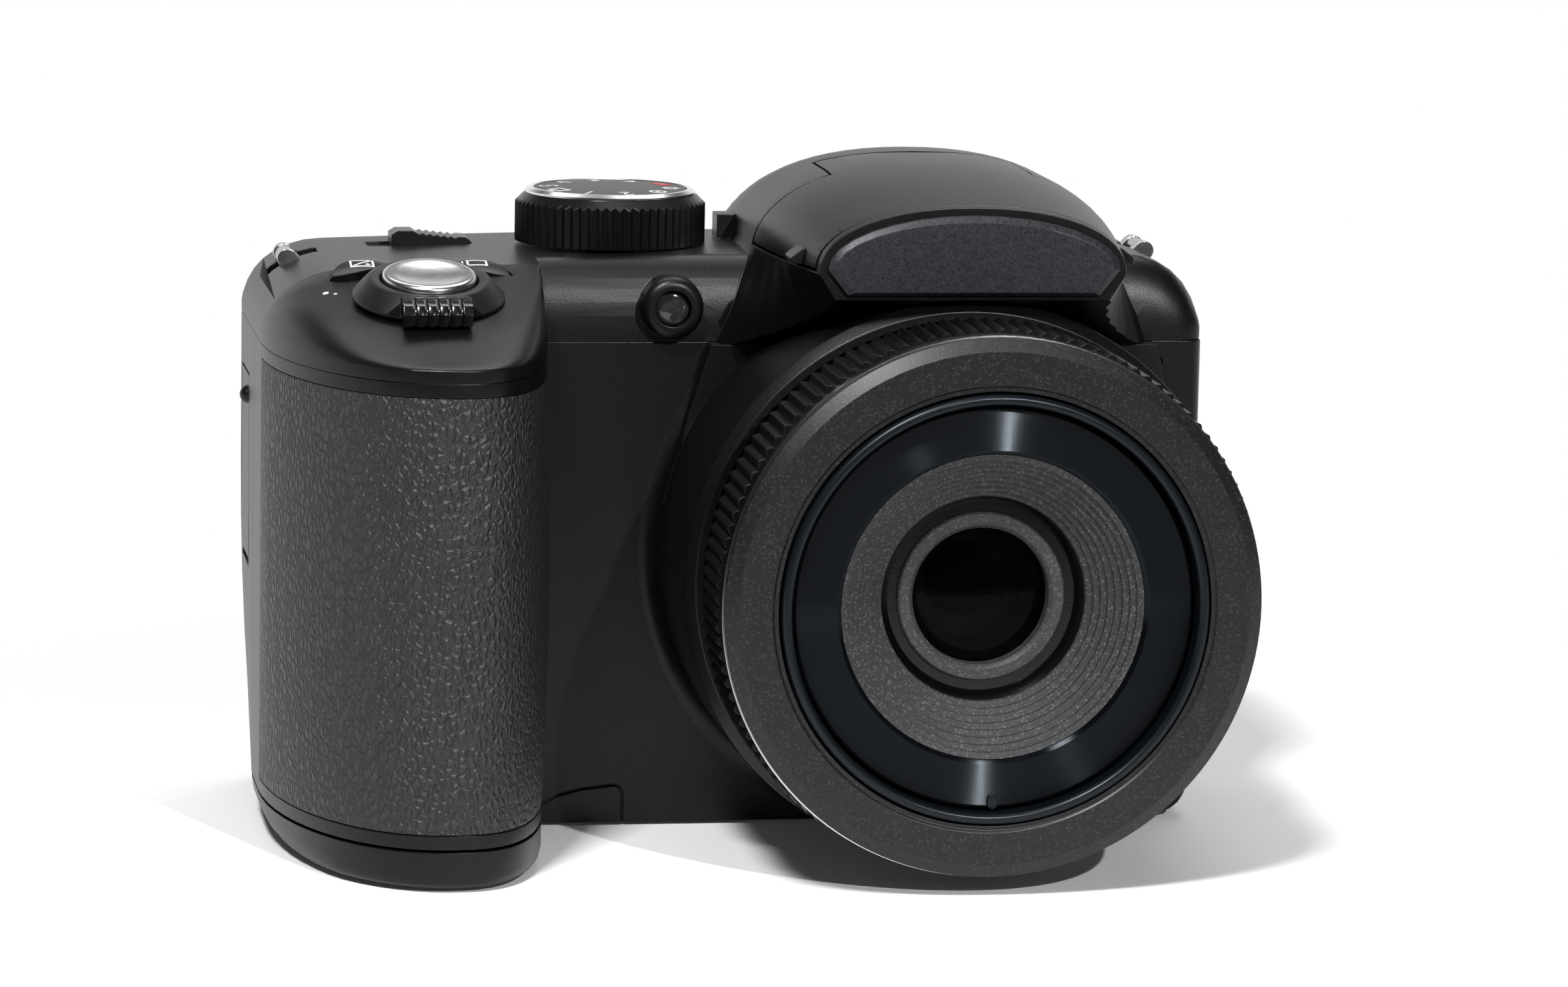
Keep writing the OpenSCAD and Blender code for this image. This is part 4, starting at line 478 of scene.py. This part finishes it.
inner_coat, tree = blank("green_coated_glass")
place = add(tree, "TexCoord")
haze = add(tree, "TexNoise", {"Vector": place.outputs["Object"], "Scale": 1 / (3 * MM), "Detail": 1.0})
depth = add(tree, "Mix", {FACTOR: haze.outputs[0], FIRST: colour("#040706"), SECOND: colour("#0b1412")},
            data_type="RGBA")
shader = add(tree, "BsdfPrincipled", {"Base Color": depth.outputs[BLEND], "Roughness": 0.06, "IOR": 1.25,
                                      "Specular Tint": colour("#8fd8c4")})
add(tree, "OutputMaterial", {"Surface": shader.outputs[0]})
print("Glass:", coated_glass.name, inner_coat.name)

# %% [markdown]
# ## Bright metal
# The shutter button is plated and polished, the strap bars are nickel, and the pins inside are plain steel.
# Polish leaves faint brushing, and handling leaves small differences in shine, so noise moves the roughness.

# %% Plated metal
RUB, SMALL_EDGE = 1.2 * MM, 0.2 * MM


def plated(name, dark, light, rough, spread):
    """Plated metal: a roughness that wanders by spread."""
    made, tree = blank(name)
    place = add(tree, "TexCoord")
    rubbed = add(tree, "TexNoise", {"Vector": place.outputs["Object"], "Scale": 1 / RUB, "Detail": 4.0})
    tone = add(tree, "Mix", {FACTOR: rubbed.outputs[0], FIRST: colour(dark), SECOND: colour(light)},
               data_type="RGBA")
    shine = add(tree, "MapRange", {"Value": rubbed.outputs[0], "To Min": rough - spread,
                                   "To Max": rough + spread})
    rounded = add(tree, "Bevel", {"Radius": SMALL_EDGE}, samples=6)
    shader = add(tree, "BsdfPrincipled", {"Base Color": tone.outputs[BLEND], "Metallic": 1.0,
                                          "Roughness": shine.outputs[0], "Normal": rounded.outputs[0]})
    add(tree, "OutputMaterial", {"Surface": shader.outputs[0]})
    return made


polished_plate = plated("polished_plate", "#cfd1d3", "#e4e5e6", 0.24, 0.03)
nickel = plated("nickel_plate", "#8f9194", "#b5b7ba", 0.26, 0.06)
plain_steel = plated("plain_steel", "#7e8286", "#a2a6aa", 0.36, 0.08)
brass = plated("brass", "#94742f", "#b8924a", 0.34, 0.08)
reflector = plated("flash_reflector", "#c8cacc", "#e6e7e8", 0.12, 0.04)
print("Metals:", [m.name for m in (polished_plate, nickel, plain_steel, brass, reflector)])

# %% [markdown]
# ## What is inside and behind
# Most of these pieces show only when a door is open or from behind, and each is still given the finish of
# the real one: lacquered circuit boards, cell wrappers, the acrylic window of the screen, felt and ink.

# %% Boards, cells, windows and ink
PATCH_SPREAD, LEAST_ROUGH = 0.05, 0.02


def speckled(name, dark, light, size, rough, coat=0.0, clear=0.0):
    """A surface of two tones in patches of that size in millimetres."""
    made, tree = blank(name)
    place = add(tree, "TexCoord")
    patches = add(tree, "TexNoise", {"Vector": place.outputs["Object"], "Scale": 1 / (size * MM),
                                     "Detail": 3.0})
    tone = add(tree, "Mix", {FACTOR: patches.outputs[0], FIRST: colour(dark), SECOND: colour(light)},
               data_type="RGBA")
    shine = add(tree, "MapRange", {"Value": patches.outputs[0], "To Max": rough + PATCH_SPREAD,
                                   "To Min": max(rough - PATCH_SPREAD, LEAST_ROUGH)})
    rounded = add(tree, "Bevel", {"Radius": SMALL_EDGE}, samples=6)
    shader = add(tree, "BsdfPrincipled", {"Base Color": tone.outputs[BLEND], "Roughness": shine.outputs[0],
                                          "Coat Weight": coat, "Transmission Weight": clear,
                                          "Normal": rounded.outputs[0]})
    add(tree, "OutputMaterial", {"Surface": shader.outputs[0]})
    return made


lacquered_board = speckled("lacquered_board", "#174a2f", "#226040", 1.5, 0.3, 0.4)
cell_wrapper = speckled("cell_wrapper", "#b9b29c", "#cfc8b3", 3.0, 0.3, 0.3)
card_shell = speckled("card_shell", "#1e3763", "#2a4877", 2.0, 0.4)
screen_acrylic = speckled("screen_acrylic", "#08090b", "#0d0e11", 6.0, 0.07, 0.6)
screen_panel = speckled("screen_panel", "#2a2e33", "#363a40", 4.0, 0.4)
lamp_acrylic = speckled("lamp_acrylic", "#1c1d1e", "#333537", 0.9, 0.1, 0.8)
flash_acrylic = speckled("flash_acrylic", "#d5dbe0", "#eef2f4", 1.0, 0.1, 0.3, 0.6)
capacitor_sleeve = speckled("capacitor_sleeve", "#2f3560", "#3d447a", 2.0, 0.3, 0.3)
record_red = speckled("record_red", "#8f1c22", "#a92a2f", 0.8, 0.28, 0.4)
sensor_dark = speckled("sensor_dark", "#1e2a26", "#2f3f38", 0.6, 0.15, 0.6)
felt = speckled("seal_felt", "#060606", "#0c0c0c", 0.25, 0.9)
white_print = speckled("white_print", "#d2d3d3", "#e4e4e2", 0.2, 0.5)
red_print = speckled("red_print", "#b8241f", "#cc3a30", 0.2, 0.5)
print("Materials so far:", len(bpy.data.materials))

# %% [markdown]
# ## The dial's top
# The plate on the mode dial has a bright bevelled rim round a dark painted disc. It is one piece of CAD, so
# one material paints both: metal outside a radius of 9.7 mm and paint inside it.

# %% Painted plate with a bright rim
DIAL = (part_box("dial_plate")[0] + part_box("dial_plate")[1]) / 2
RIM_FROM, GRIT = 9.72 * MM, 0.35 * MM
PAINT_ROUGH, RIM_ROUGH = 0.42, 0.22

dial_finish, tree = blank("painted_dial_plate")
place = add(tree, "TexCoord")
centred = add(tree, "Mapping", {"Vector": place.outputs["Object"], "Location": (-DIAL.x, -DIAL.y, 0)})
flat = add(tree, "VectorMath", {0: centred.outputs[0], 1: (1, 1, 0)}, operation="MULTIPLY")
radius = add(tree, "VectorMath", {0: flat.outputs[0]}, operation="LENGTH")
rim = add(tree, "Math", {0: radius.outputs["Value"], 1: RIM_FROM}, operation="GREATER_THAN")
grit = add(tree, "TexNoise", {"Vector": place.outputs["Object"], "Scale": 1 / GRIT, "Detail": 2.0})
paint = add(tree, "Mix", {FACTOR: grit.outputs[0], FIRST: colour("#141516"), SECOND: colour("#202123")},
            data_type="RGBA")
tone = add(tree, "Mix", {FACTOR: rim.outputs[0], FIRST: paint.outputs[BLEND], SECOND: colour("#e2e4e6")},
           data_type="RGBA")
shine = add(tree, "MapRange", {"Value": rim.outputs[0], "To Min": PAINT_ROUGH, "To Max": RIM_ROUGH})
shader = add(tree, "BsdfPrincipled", {"Base Color": tone.outputs[BLEND], "Metallic": rim.outputs[0],
                                      "Roughness": shine.outputs[0]})
add(tree, "OutputMaterial", {"Surface": shader.outputs[0]})
print("Middle of the dial:", [round(v / MM, 1) for v in DIAL], "mm")

# %% [markdown]
# ## Smooth skins
# The CAD solids of the deck, the hump, the grip and the door are made of flat facets. A copy of each one is
# merged into a single sheet, its real edges are rounded by a tenth or two of a millimetre, so that a seam
# between two mouldings shows as a fine line, and it is shaded smooth wherever two facets meet at a small
# angle. The copy then stands in for the node.

# %% Copy, merge, round and smooth
MERGE_WITHIN = 0.002 * MM
FLAT_WITHIN = math.radians(0.4)
EDGE_BEYOND = 8  # degrees past the smooth bends


def smooth_skin(name, angle, finish, edge):
    """A merged copy of a CAD node in place: bends under angle degrees smooth, others rounded by edge mm."""
    bpy.ops.object.select_all(action="DESELECT")
    source = parts[name]
    source.select_set(True)
    bpy.context.view_layer.objects.active = source
    bpy.ops.object.duplicate()
    skin = bpy.context.object
    skin.name = name + "_skin"
    del skin["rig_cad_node"]
    bpy.ops.mesh.customdata_custom_splitnormals_clear()
    bpy.ops.object.mode_set(mode="EDIT")
    bpy.ops.mesh.select_all(action="SELECT")
    bpy.ops.mesh.remove_doubles(threshold=MERGE_WITHIN)
    if edge:
        bpy.ops.mesh.dissolve_limited(angle_limit=FLAT_WITHIN)
    bpy.ops.object.mode_set(mode="OBJECT")
    if edge:
        cut = skin.modifiers.new("moulded_edge", "BEVEL")
        cut.width = edge * MM
        cut.segments = 2
        cut.limit_method = "ANGLE"
        cut.angle_limit = math.radians(angle + EDGE_BEYOND)
        cut.use_clamp_overlap = False
        bpy.ops.object.modifier_apply(modifier=cut.name)
    bpy.ops.object.shade_smooth_by_angle(angle=math.radians(angle))
    if edge:
        flat = skin.modifiers.new("flat_faces", "WEIGHTED_NORMAL")
        flat.keep_sharp = True
        bpy.ops.object.modifier_apply(modifier=flat.name)
    skin.data.materials.clear()
    skin.data.materials.append(finish)
    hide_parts(name)
    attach(skin, source["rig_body"])
    return skin


# %% Skins: node, smooth bends in degrees, finish, rounding in millimetres
skins = {}
for name, angle, finish, edge in (
        ("top_cover", 32, eroded_abs, 0.14),
        ("flash_lid", 32, eroded_abs, 0.14),
        ("grip_shell", 30, eroded_abs, 0.14),
        ("grip_rubber", 40, hide_rubber, 0.2),
        ("rear_shell", 32, eroded_abs, 0.14),
        ("front_shell", 30, eroded_abs, 0.14),
        ("battery_door", 32, eroded_abs, 0.14),
        ("terminal_cover", 30, eroded_abs, 0.12),
        ("door_latch", 30, eroded_abs, 0.1),
        ("knurled_ring", 50, smooth_abs, 0),
        ("mode_dial", 20, smooth_abs, 0),
        ("hood_panel", 25, flake_paint, 0.1),
        ("thumb_rest", 30, hide_rubber, 0.2),
        ("front_ring", 28, ring_paint, 0.08),
        ("zoom_barrel_outer", 40, barrel_metal, 0.06),
        ("face_ring", 28, face_metal, 0.05),
        ("lens_baffle", 24, baffle_grey, 0),
        ("lens_retainer", 28, retainer_grey, 0.06),
        ("front_element", 40, coated_glass, 0),
        ("trim_ring", 30, bright_line, 0),
        ("shutter_button", 35, polished_plate, 0),
        ("zoom_lever", 30, lever_plastic, 0.1),
        ("lens_housing", 30, smooth_abs, 0),
        ("strap_lugs", 30, nickel, 0),
        ("dial_plate", 20, dial_finish, 0),
        ("lamp_lens", 40, lamp_acrylic, 0)):
    skins[name] = smooth_skin(name, angle, finish, edge)
print("Skins:", {n: len(s.data.polygons) for n, s in skins.items()})

# %% [markdown]
# ## A finish for every other piece
# The nodes whose CAD shape is already exact, such as keys, pins and boards, keep their own mesh and only get
# a better material.

# %% Give out the finishes
finishes = {
    smooth_abs: ["power_slider", "drive_button", "exposure_button", "menu_button", "play_button",
                 "delete_button", "pad_ring", "ok_button", "battery_cradle"],
    barrel_metal: ["zoom_barrel_inner"],
    coated_glass: ["rear_element"],
    plain_steel: ["flash_pin", "door_pin", "case_screws", "card_socket", "usb_socket", "zoom_drive"],
    brass: ["tripod_insert", "battery_contacts", "door_contacts"],
    lacquered_board: ["main_board", "sensor_board", "top_board", "flash_board"],
    cell_wrapper: ["battery_cells"],
    card_shell: ["memory_card"],
    screen_acrylic: ["lcd_window"],
    screen_panel: ["lcd_panel"],
    flash_acrylic: ["flash_window"],
    reflector: ["flash_lamp"],
    capacitor_sleeve: ["flash_capacitor"],
    record_red: ["record_button"],
    sensor_dark: ["image_sensor"],
    felt: ["barrel_seal"],
}
for finish, names in finishes.items():
    for name in names:
        parts[name].data.materials.clear()
        parts[name].data.materials.append(finish)
left = set(parts) - set(skins) - {n for names in finishes.values() for n in names}
print("Nodes without a finish:", sorted(left))

# %% [markdown]
# ## The depths of the lens
# Behind the front glass the real barrel narrows in black steps to a second, smaller glass. The steps are
# seen through the front glass as faint rings. A disc as wide as the glass is inset and pushed back again and
# again, which is how a lathe would step it, and a wall thickness closes it. The small glass is the cap of a
# sphere, cut off by a plane.

# %% The stepped throat
GLASS_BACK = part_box("front_element")[1].y
THROAT_RADIUS, THROAT_BEHIND, THROAT_WALL = (v * MM for v in (10.1, 0.15, 0.3))
THROAT_STEPS = ((1.5, 2.2), (0.9, 1.6), (1.0, 1.8), (1.1, 1.6), (0.9, 1.4), (0.7, 1.2))  # inward and back, mm
SMOOTH_BEND = math.radians(30)

bpy.ops.object.select_all(action="DESELECT")
bpy.ops.mesh.primitive_circle_add(vertices=72, radius=THROAT_RADIUS, fill_type="NGON",
                                  location=(0, GLASS_BACK + THROAT_BEHIND, LENS_HIGH),
                                  rotation=(math.pi / 2, 0, 0))
throat = bpy.context.object
throat.name = "lens_throat"
bpy.ops.object.transform_apply(location=True, rotation=True, scale=True)
bpy.ops.object.mode_set(mode="EDIT")
bpy.ops.mesh.select_all(action="SELECT")
for inward, back in THROAT_STEPS:
    bpy.ops.mesh.inset(thickness=inward * MM)
    bpy.ops.mesh.extrude_region_move(TRANSFORM_OT_translate={"value": (0, back * MM, 0)})
bpy.ops.object.mode_set(mode="OBJECT")
wall = throat.modifiers.new("wall", "SOLIDIFY")
wall.thickness = THROAT_WALL
wall.offset = -1
bpy.ops.object.modifier_apply(modifier=wall.name)
bpy.ops.object.shade_smooth_by_angle(angle=SMOOTH_BEND)
throat.data.materials.append(blackened)
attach(throat, "zoom_inner")
print("Throat faces:", len(throat.data.polygons))

# %% The inner glass
BALL_RADIUS, BALL_BEHIND, CAP_BEHIND = (v * MM for v in (7.5, 13.6, 7.6))

bpy.ops.object.select_all(action="DESELECT")
bpy.ops.mesh.primitive_uv_sphere_add(segments=64, ring_count=48, radius=BALL_RADIUS,
                                     location=(0, GLASS_BACK + BALL_BEHIND, LENS_HIGH))
inner_glass = bpy.context.object
inner_glass.name = "inner_glass"
bpy.ops.object.transform_apply(location=True, rotation=True, scale=True)
bpy.ops.object.mode_set(mode="EDIT")
bpy.ops.mesh.select_all(action="SELECT")
bpy.ops.mesh.bisect(plane_co=(0, GLASS_BACK + CAP_BEHIND, LENS_HIGH), plane_no=(0, 1, 0), use_fill=True,
                    clear_outer=True)
bpy.ops.object.mode_set(mode="OBJECT")
bpy.ops.object.shade_smooth_by_angle(angle=SMOOTH_BEND)
inner_glass.data.materials.append(inner_coat)
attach(inner_glass, "zoom_inner")
print("Inner glass faces:", len(inner_glass.data.polygons))

# %% [markdown]
# ## The key on the face ring
# A small round-topped key at the bottom of the dark ring stops it from turning in its barrel. It starts as a
# short cylinder. Its lower half is pulled down, which gives the straight sides, and its front edge is
# bevelled.

# %% The key
FACE_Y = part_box("face_ring")[0].y
KEY_RIGHT, KEY_BELOW, KEY_RADIUS, KEY_DEEP, KEY_PULL, KEY_EDGE = (
    v * MM for v in (0.3, 22.9, 0.62, 0.7, 0.75, 0.12))
KEY_HIGH = LENS_HIGH - KEY_BELOW

bpy.ops.object.select_all(action="DESELECT")
bpy.ops.mesh.primitive_cylinder_add(vertices=32, radius=KEY_RADIUS, depth=KEY_DEEP,
                                    location=(KEY_RIGHT, FACE_Y, KEY_HIGH), rotation=(math.pi / 2, 0, 0))
key = bpy.context.object
key.name = "face_ring_key"
bpy.ops.object.transform_apply(location=True, rotation=True, scale=True)
for corner in key.data.vertices:
    corner.select = corner.co.z < KEY_HIGH - 0.01 * MM
for side in list(key.data.edges) + list(key.data.polygons):
    side.select = False
bpy.ops.object.mode_set(mode="EDIT")
bpy.ops.mesh.select_mode(type="VERT")
bpy.ops.transform.translate(value=(0, 0, -KEY_PULL))
bpy.ops.object.mode_set(mode="OBJECT")
soft = key.modifiers.new("soft_edge", "BEVEL")
soft.width = KEY_EDGE
soft.segments = 3
soft.limit_method = "ANGLE"
soft.angle_limit = math.radians(50)
bpy.ops.object.modifier_apply(modifier=soft.name)
bpy.ops.object.shade_smooth_by_angle(angle=math.radians(35))
key.data.materials.append(barrel_metal)
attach(key, "zoom_inner")
print("Key:", [round(v / MM, 2) for v in key.dimensions], "mm")

# %% [markdown]
# ## Printed marks
# The dial, the keys and the deck carry small pad-printed marks. Each one starts as a flat outline: a line of
# text, or a polygon whose middle is inset and taken out, or a bar. Marks for one body are joined, laid on
# the surface that carries them, by a Shrinkwrap modifier that drops them on it, and given the thickness of a
# film of ink. The marks are plain numbers and simple signs.

# %% Tools for marks
INK, INK_LIFT = 0.03 * MM, 0.02 * MM
FONT_SIZE = 1.4  # of a line whose numbers are 1 high
TRIANGLE, BAR, HEXAGON, DOT, DISC, LARGE_DISC = 3, 4, 6, 16, 24, 32  # sides of a mark
FACING = {"up": Matrix.Identity(4),
          "back": Matrix.Rotation(math.pi, 4, "Z") @ Matrix.Rotation(math.pi / 2, 4, "X")}


def finish_mark(made, at, turn, facing):
    """Turn a flat mark in its own plane, let it face up or back, move it to its place and apply that."""
    made.matrix_world = Matrix.Translation(at) @ FACING[facing] @ Matrix.Rotation(turn, 4, "Z")
    bpy.ops.object.transform_apply(location=True, rotation=True, scale=True)
    return made


def letter(words, size, at, turn):
    """Plain lettering that faces up, size millimetres high."""
    bpy.ops.object.select_all(action="DESELECT")
    bpy.ops.object.text_add()
    made = bpy.context.object
    made.data.body = words
    made.data.size = size * FONT_SIZE * MM
    made.data.resolution_u = 4
    made.data.align_x = "CENTER"
    made.data.align_y = "CENTER"
    bpy.ops.object.convert(target="MESH")
    return finish_mark(bpy.context.object, at, turn, "up")


def plate(sides, wide, high, line, at, turn=0.0, facing="up"):
    """A polygon of that width and height in millimetres, an outline where line gives its width."""
    bpy.ops.object.select_all(action="DESELECT")
    spin = math.pi / 4 if sides == BAR else 0.0
    bpy.ops.mesh.primitive_circle_add(vertices=sides, radius=0.5 * MM / math.cos(spin), fill_type="NGON",
                                      rotation=(0, 0, spin))
    made = bpy.context.object
    bpy.ops.object.transform_apply(location=True, rotation=True, scale=True)
    bpy.ops.object.mode_set(mode="EDIT")
    bpy.ops.mesh.select_all(action="SELECT")
    bpy.ops.transform.resize(value=(wide, high, 1))
    if line:
        bpy.ops.mesh.inset(thickness=line * MM)
        bpy.ops.mesh.delete(type="FACE")
    bpy.ops.object.mode_set(mode="OBJECT")
    return finish_mark(made, at, turn, facing)


def print_marks(name, marks, finish, body, carrier, down="Z"):
    """Join marks into one film of ink that rides on a body, dropped on its carrier along an axis."""
    bpy.ops.object.select_all(action="DESELECT")
    for made in marks:
        made.select_set(True)
    bpy.context.view_layer.objects.active = marks[0]
    if len(marks) > 1:
        bpy.ops.object.join()
    film = bpy.context.object
    film.name = name
    bpy.ops.object.mode_set(mode="EDIT")
    bpy.ops.mesh.select_all(action="SELECT")
    bpy.ops.mesh.quads_convert_to_tris()
    bpy.ops.mesh.subdivide(number_cuts=2)
    bpy.ops.object.mode_set(mode="OBJECT")
    drop = film.modifiers.new("drop", "SHRINKWRAP")
    drop.target = parts[carrier]
    drop.wrap_method = "PROJECT"
    drop.use_project_z = down == "Z"
    drop.use_project_y = down == "Y"
    drop.use_positive_direction = False
    drop.use_negative_direction = True
    drop.offset = INK_LIFT
    bpy.ops.object.modifier_apply(modifier=drop.name)
    ink = film.modifiers.new("ink", "SOLIDIFY")
    ink.thickness = INK
    ink.offset = 0
    bpy.ops.object.modifier_apply(modifier=ink.name)
    film.data.materials.clear()
    film.data.materials.append(finish)
    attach(film, body)
    print(name, "faces:", len(film.data.polygons), "size mm:", [round(v / MM, 2) for v in film.dimensions])


# %% Numbers and signs on the dial
MARKS_OUT, CAPS_OUT = 7.6, 9.0
OVER_DIAL = DIAL + Vector((0, 0, 2)) * MM


def on_dial(angle, out=MARKS_OUT):
    """A point over the dial's plate, out millimetres from its middle, at an angle in degrees."""
    a = math.radians(angle)
    return OVER_DIAL + Vector((out * math.cos(a), out * math.sin(a), 0)) * MM


def reading(angle):
    """The turn that makes a mark's top point outwards."""
    return math.radians(angle - 90)


white_marks = [letter(words, 2.5, on_dial(angle), reading(angle))
               for angle, words in ((-118, "1"), (-82, "2"), (98, "3"), (134, "4"), (170, "5"))]
for angle, out, sides, wide, high, line in (
        (-154, MARKS_OUT, BAR, 2.6, 1.9, 0.4), (-154, CAPS_OUT, BAR, 1.2, 0.4, 0),
        (-46, MARKS_OUT, DISC, 2.3, 2.3, 0.4), (-46, MARKS_OUT, DISC, 0.7, 0.7, 0),
        (62, MARKS_OUT, TRIANGLE, 2.2, 2.2, 0), (-10, MARKS_OUT, HEXAGON, 2.3, 2.3, 0.4)):
    white_marks.append(plate(sides, wide, high, line, on_dial(angle, out), reading(angle)))
print_marks("dial_marks", white_marks, white_print, "dial", "dial_plate")
red_marks = [plate(BAR, 2.6, 1.5, 0, on_dial(26), reading(26)),
             plate(TRIANGLE, 1.2, 1.2, 0, on_dial(26, CAPS_OUT), reading(26))]
print_marks("dial_red_mark", red_marks, red_print, "dial", "dial_plate")

# %% Signs on the keys of the deck
DRIVE, EXPOSURE, DOTS = (Vector(v) * MM for v in ((-71.7, -21.6, 74), (-57.6, -21.4, 74), (-76.6, -27.6, 74)))
PLUS = DRIVE + Vector((0.7, -0.45, 0)) * MM
INDEX = OVER_DIAL + Vector((-1.0, 13.4, 0)) * MM

box_sign = [plate(BAR, 3.0, 2.3, 0.3, DRIVE), plate(BAR, 2.6, 0.28, 0, DRIVE, math.radians(36)),
            plate(BAR, 0.7, 0.22, 0, PLUS), plate(BAR, 0.22, 0.7, 0, PLUS)]
print_marks("drive_key_sign", box_sign, white_print, "drive_key", "drive_button")
frame_sign = [plate(BAR, 2.6, 2.0, 0.3, EXPOSURE)]
for step, tall in ((-1.75, 1.6), (-2.2, 1.2), (-2.6, 0.8)):
    frame_sign.append(plate(BAR, 0.24, tall, 0, EXPOSURE + Vector((step, 0, 0)) * MM))
print_marks("exposure_key_sign", frame_sign, white_print, "exposure_key", "exposure_button")
dots = [plate(DOT, 0.8, 0.8, 0, DOTS), plate(DOT, 0.5, 0.5, 0, DOTS + Vector((1.1, -0.9, 0)) * MM)]
print_marks("lever_dots", dots, white_print, "casing", "top_cover")
print_marks("dial_index", [plate(DOT, 0.9, 0.9, 0, INDEX)], white_print, "casing", "top_cover")

# %% Signs on the keys of the back
PAD_OUT = 8.2


def behind_key(node, right=0.0, up=0.0):
    """A point just behind the middle of a key, moved right and up as seen from behind, in millimetres."""
    low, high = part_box(node)
    middle = (low + high) / 2
    return Vector((middle.x - right * MM, high.y + 3 * MM, middle.z + up * MM))


bars = [plate(BAR, 3.0, 0.45, 0, behind_key("menu_button", 0, h), facing="back") for h in (-1.1, 0, 1.1)]
print_marks("menu_sign", bars, white_print, "menu_key", "menu_button", "Y")
arrow = [plate(TRIANGLE, 2.8, 2.8, 0, behind_key("play_button"), -math.pi / 2, "back")]
print_marks("play_sign", arrow, white_print, "play_key", "play_button", "Y")
can = [plate(BAR, wide, high, line, behind_key("delete_button", 0, h), facing="back")
       for wide, high, line, h in ((2.0, 2.2, 0.3, -0.3), (2.8, 0.35, 0, 1.2), (0.9, 0.35, 0, 1.65))]
print_marks("delete_sign", can, white_print, "delete_key", "delete_button", "Y")
points = [plate(DOT, 0.9, 0.9, 0, behind_key("pad_ring", PAD_OUT * math.cos(a), PAD_OUT * math.sin(a)),
                facing="back") for a in (0, math.pi / 2, math.pi, -math.pi / 2)]
print_marks("pad_signs", points, white_print, "pad", "pad_ring", "Y")
circle = [plate(LARGE_DISC, 3.4, 3.4, 0.4, behind_key("ok_button"), facing="back")]
print_marks("ok_sign", circle, white_print, "ok_key", "ok_button", "Y")
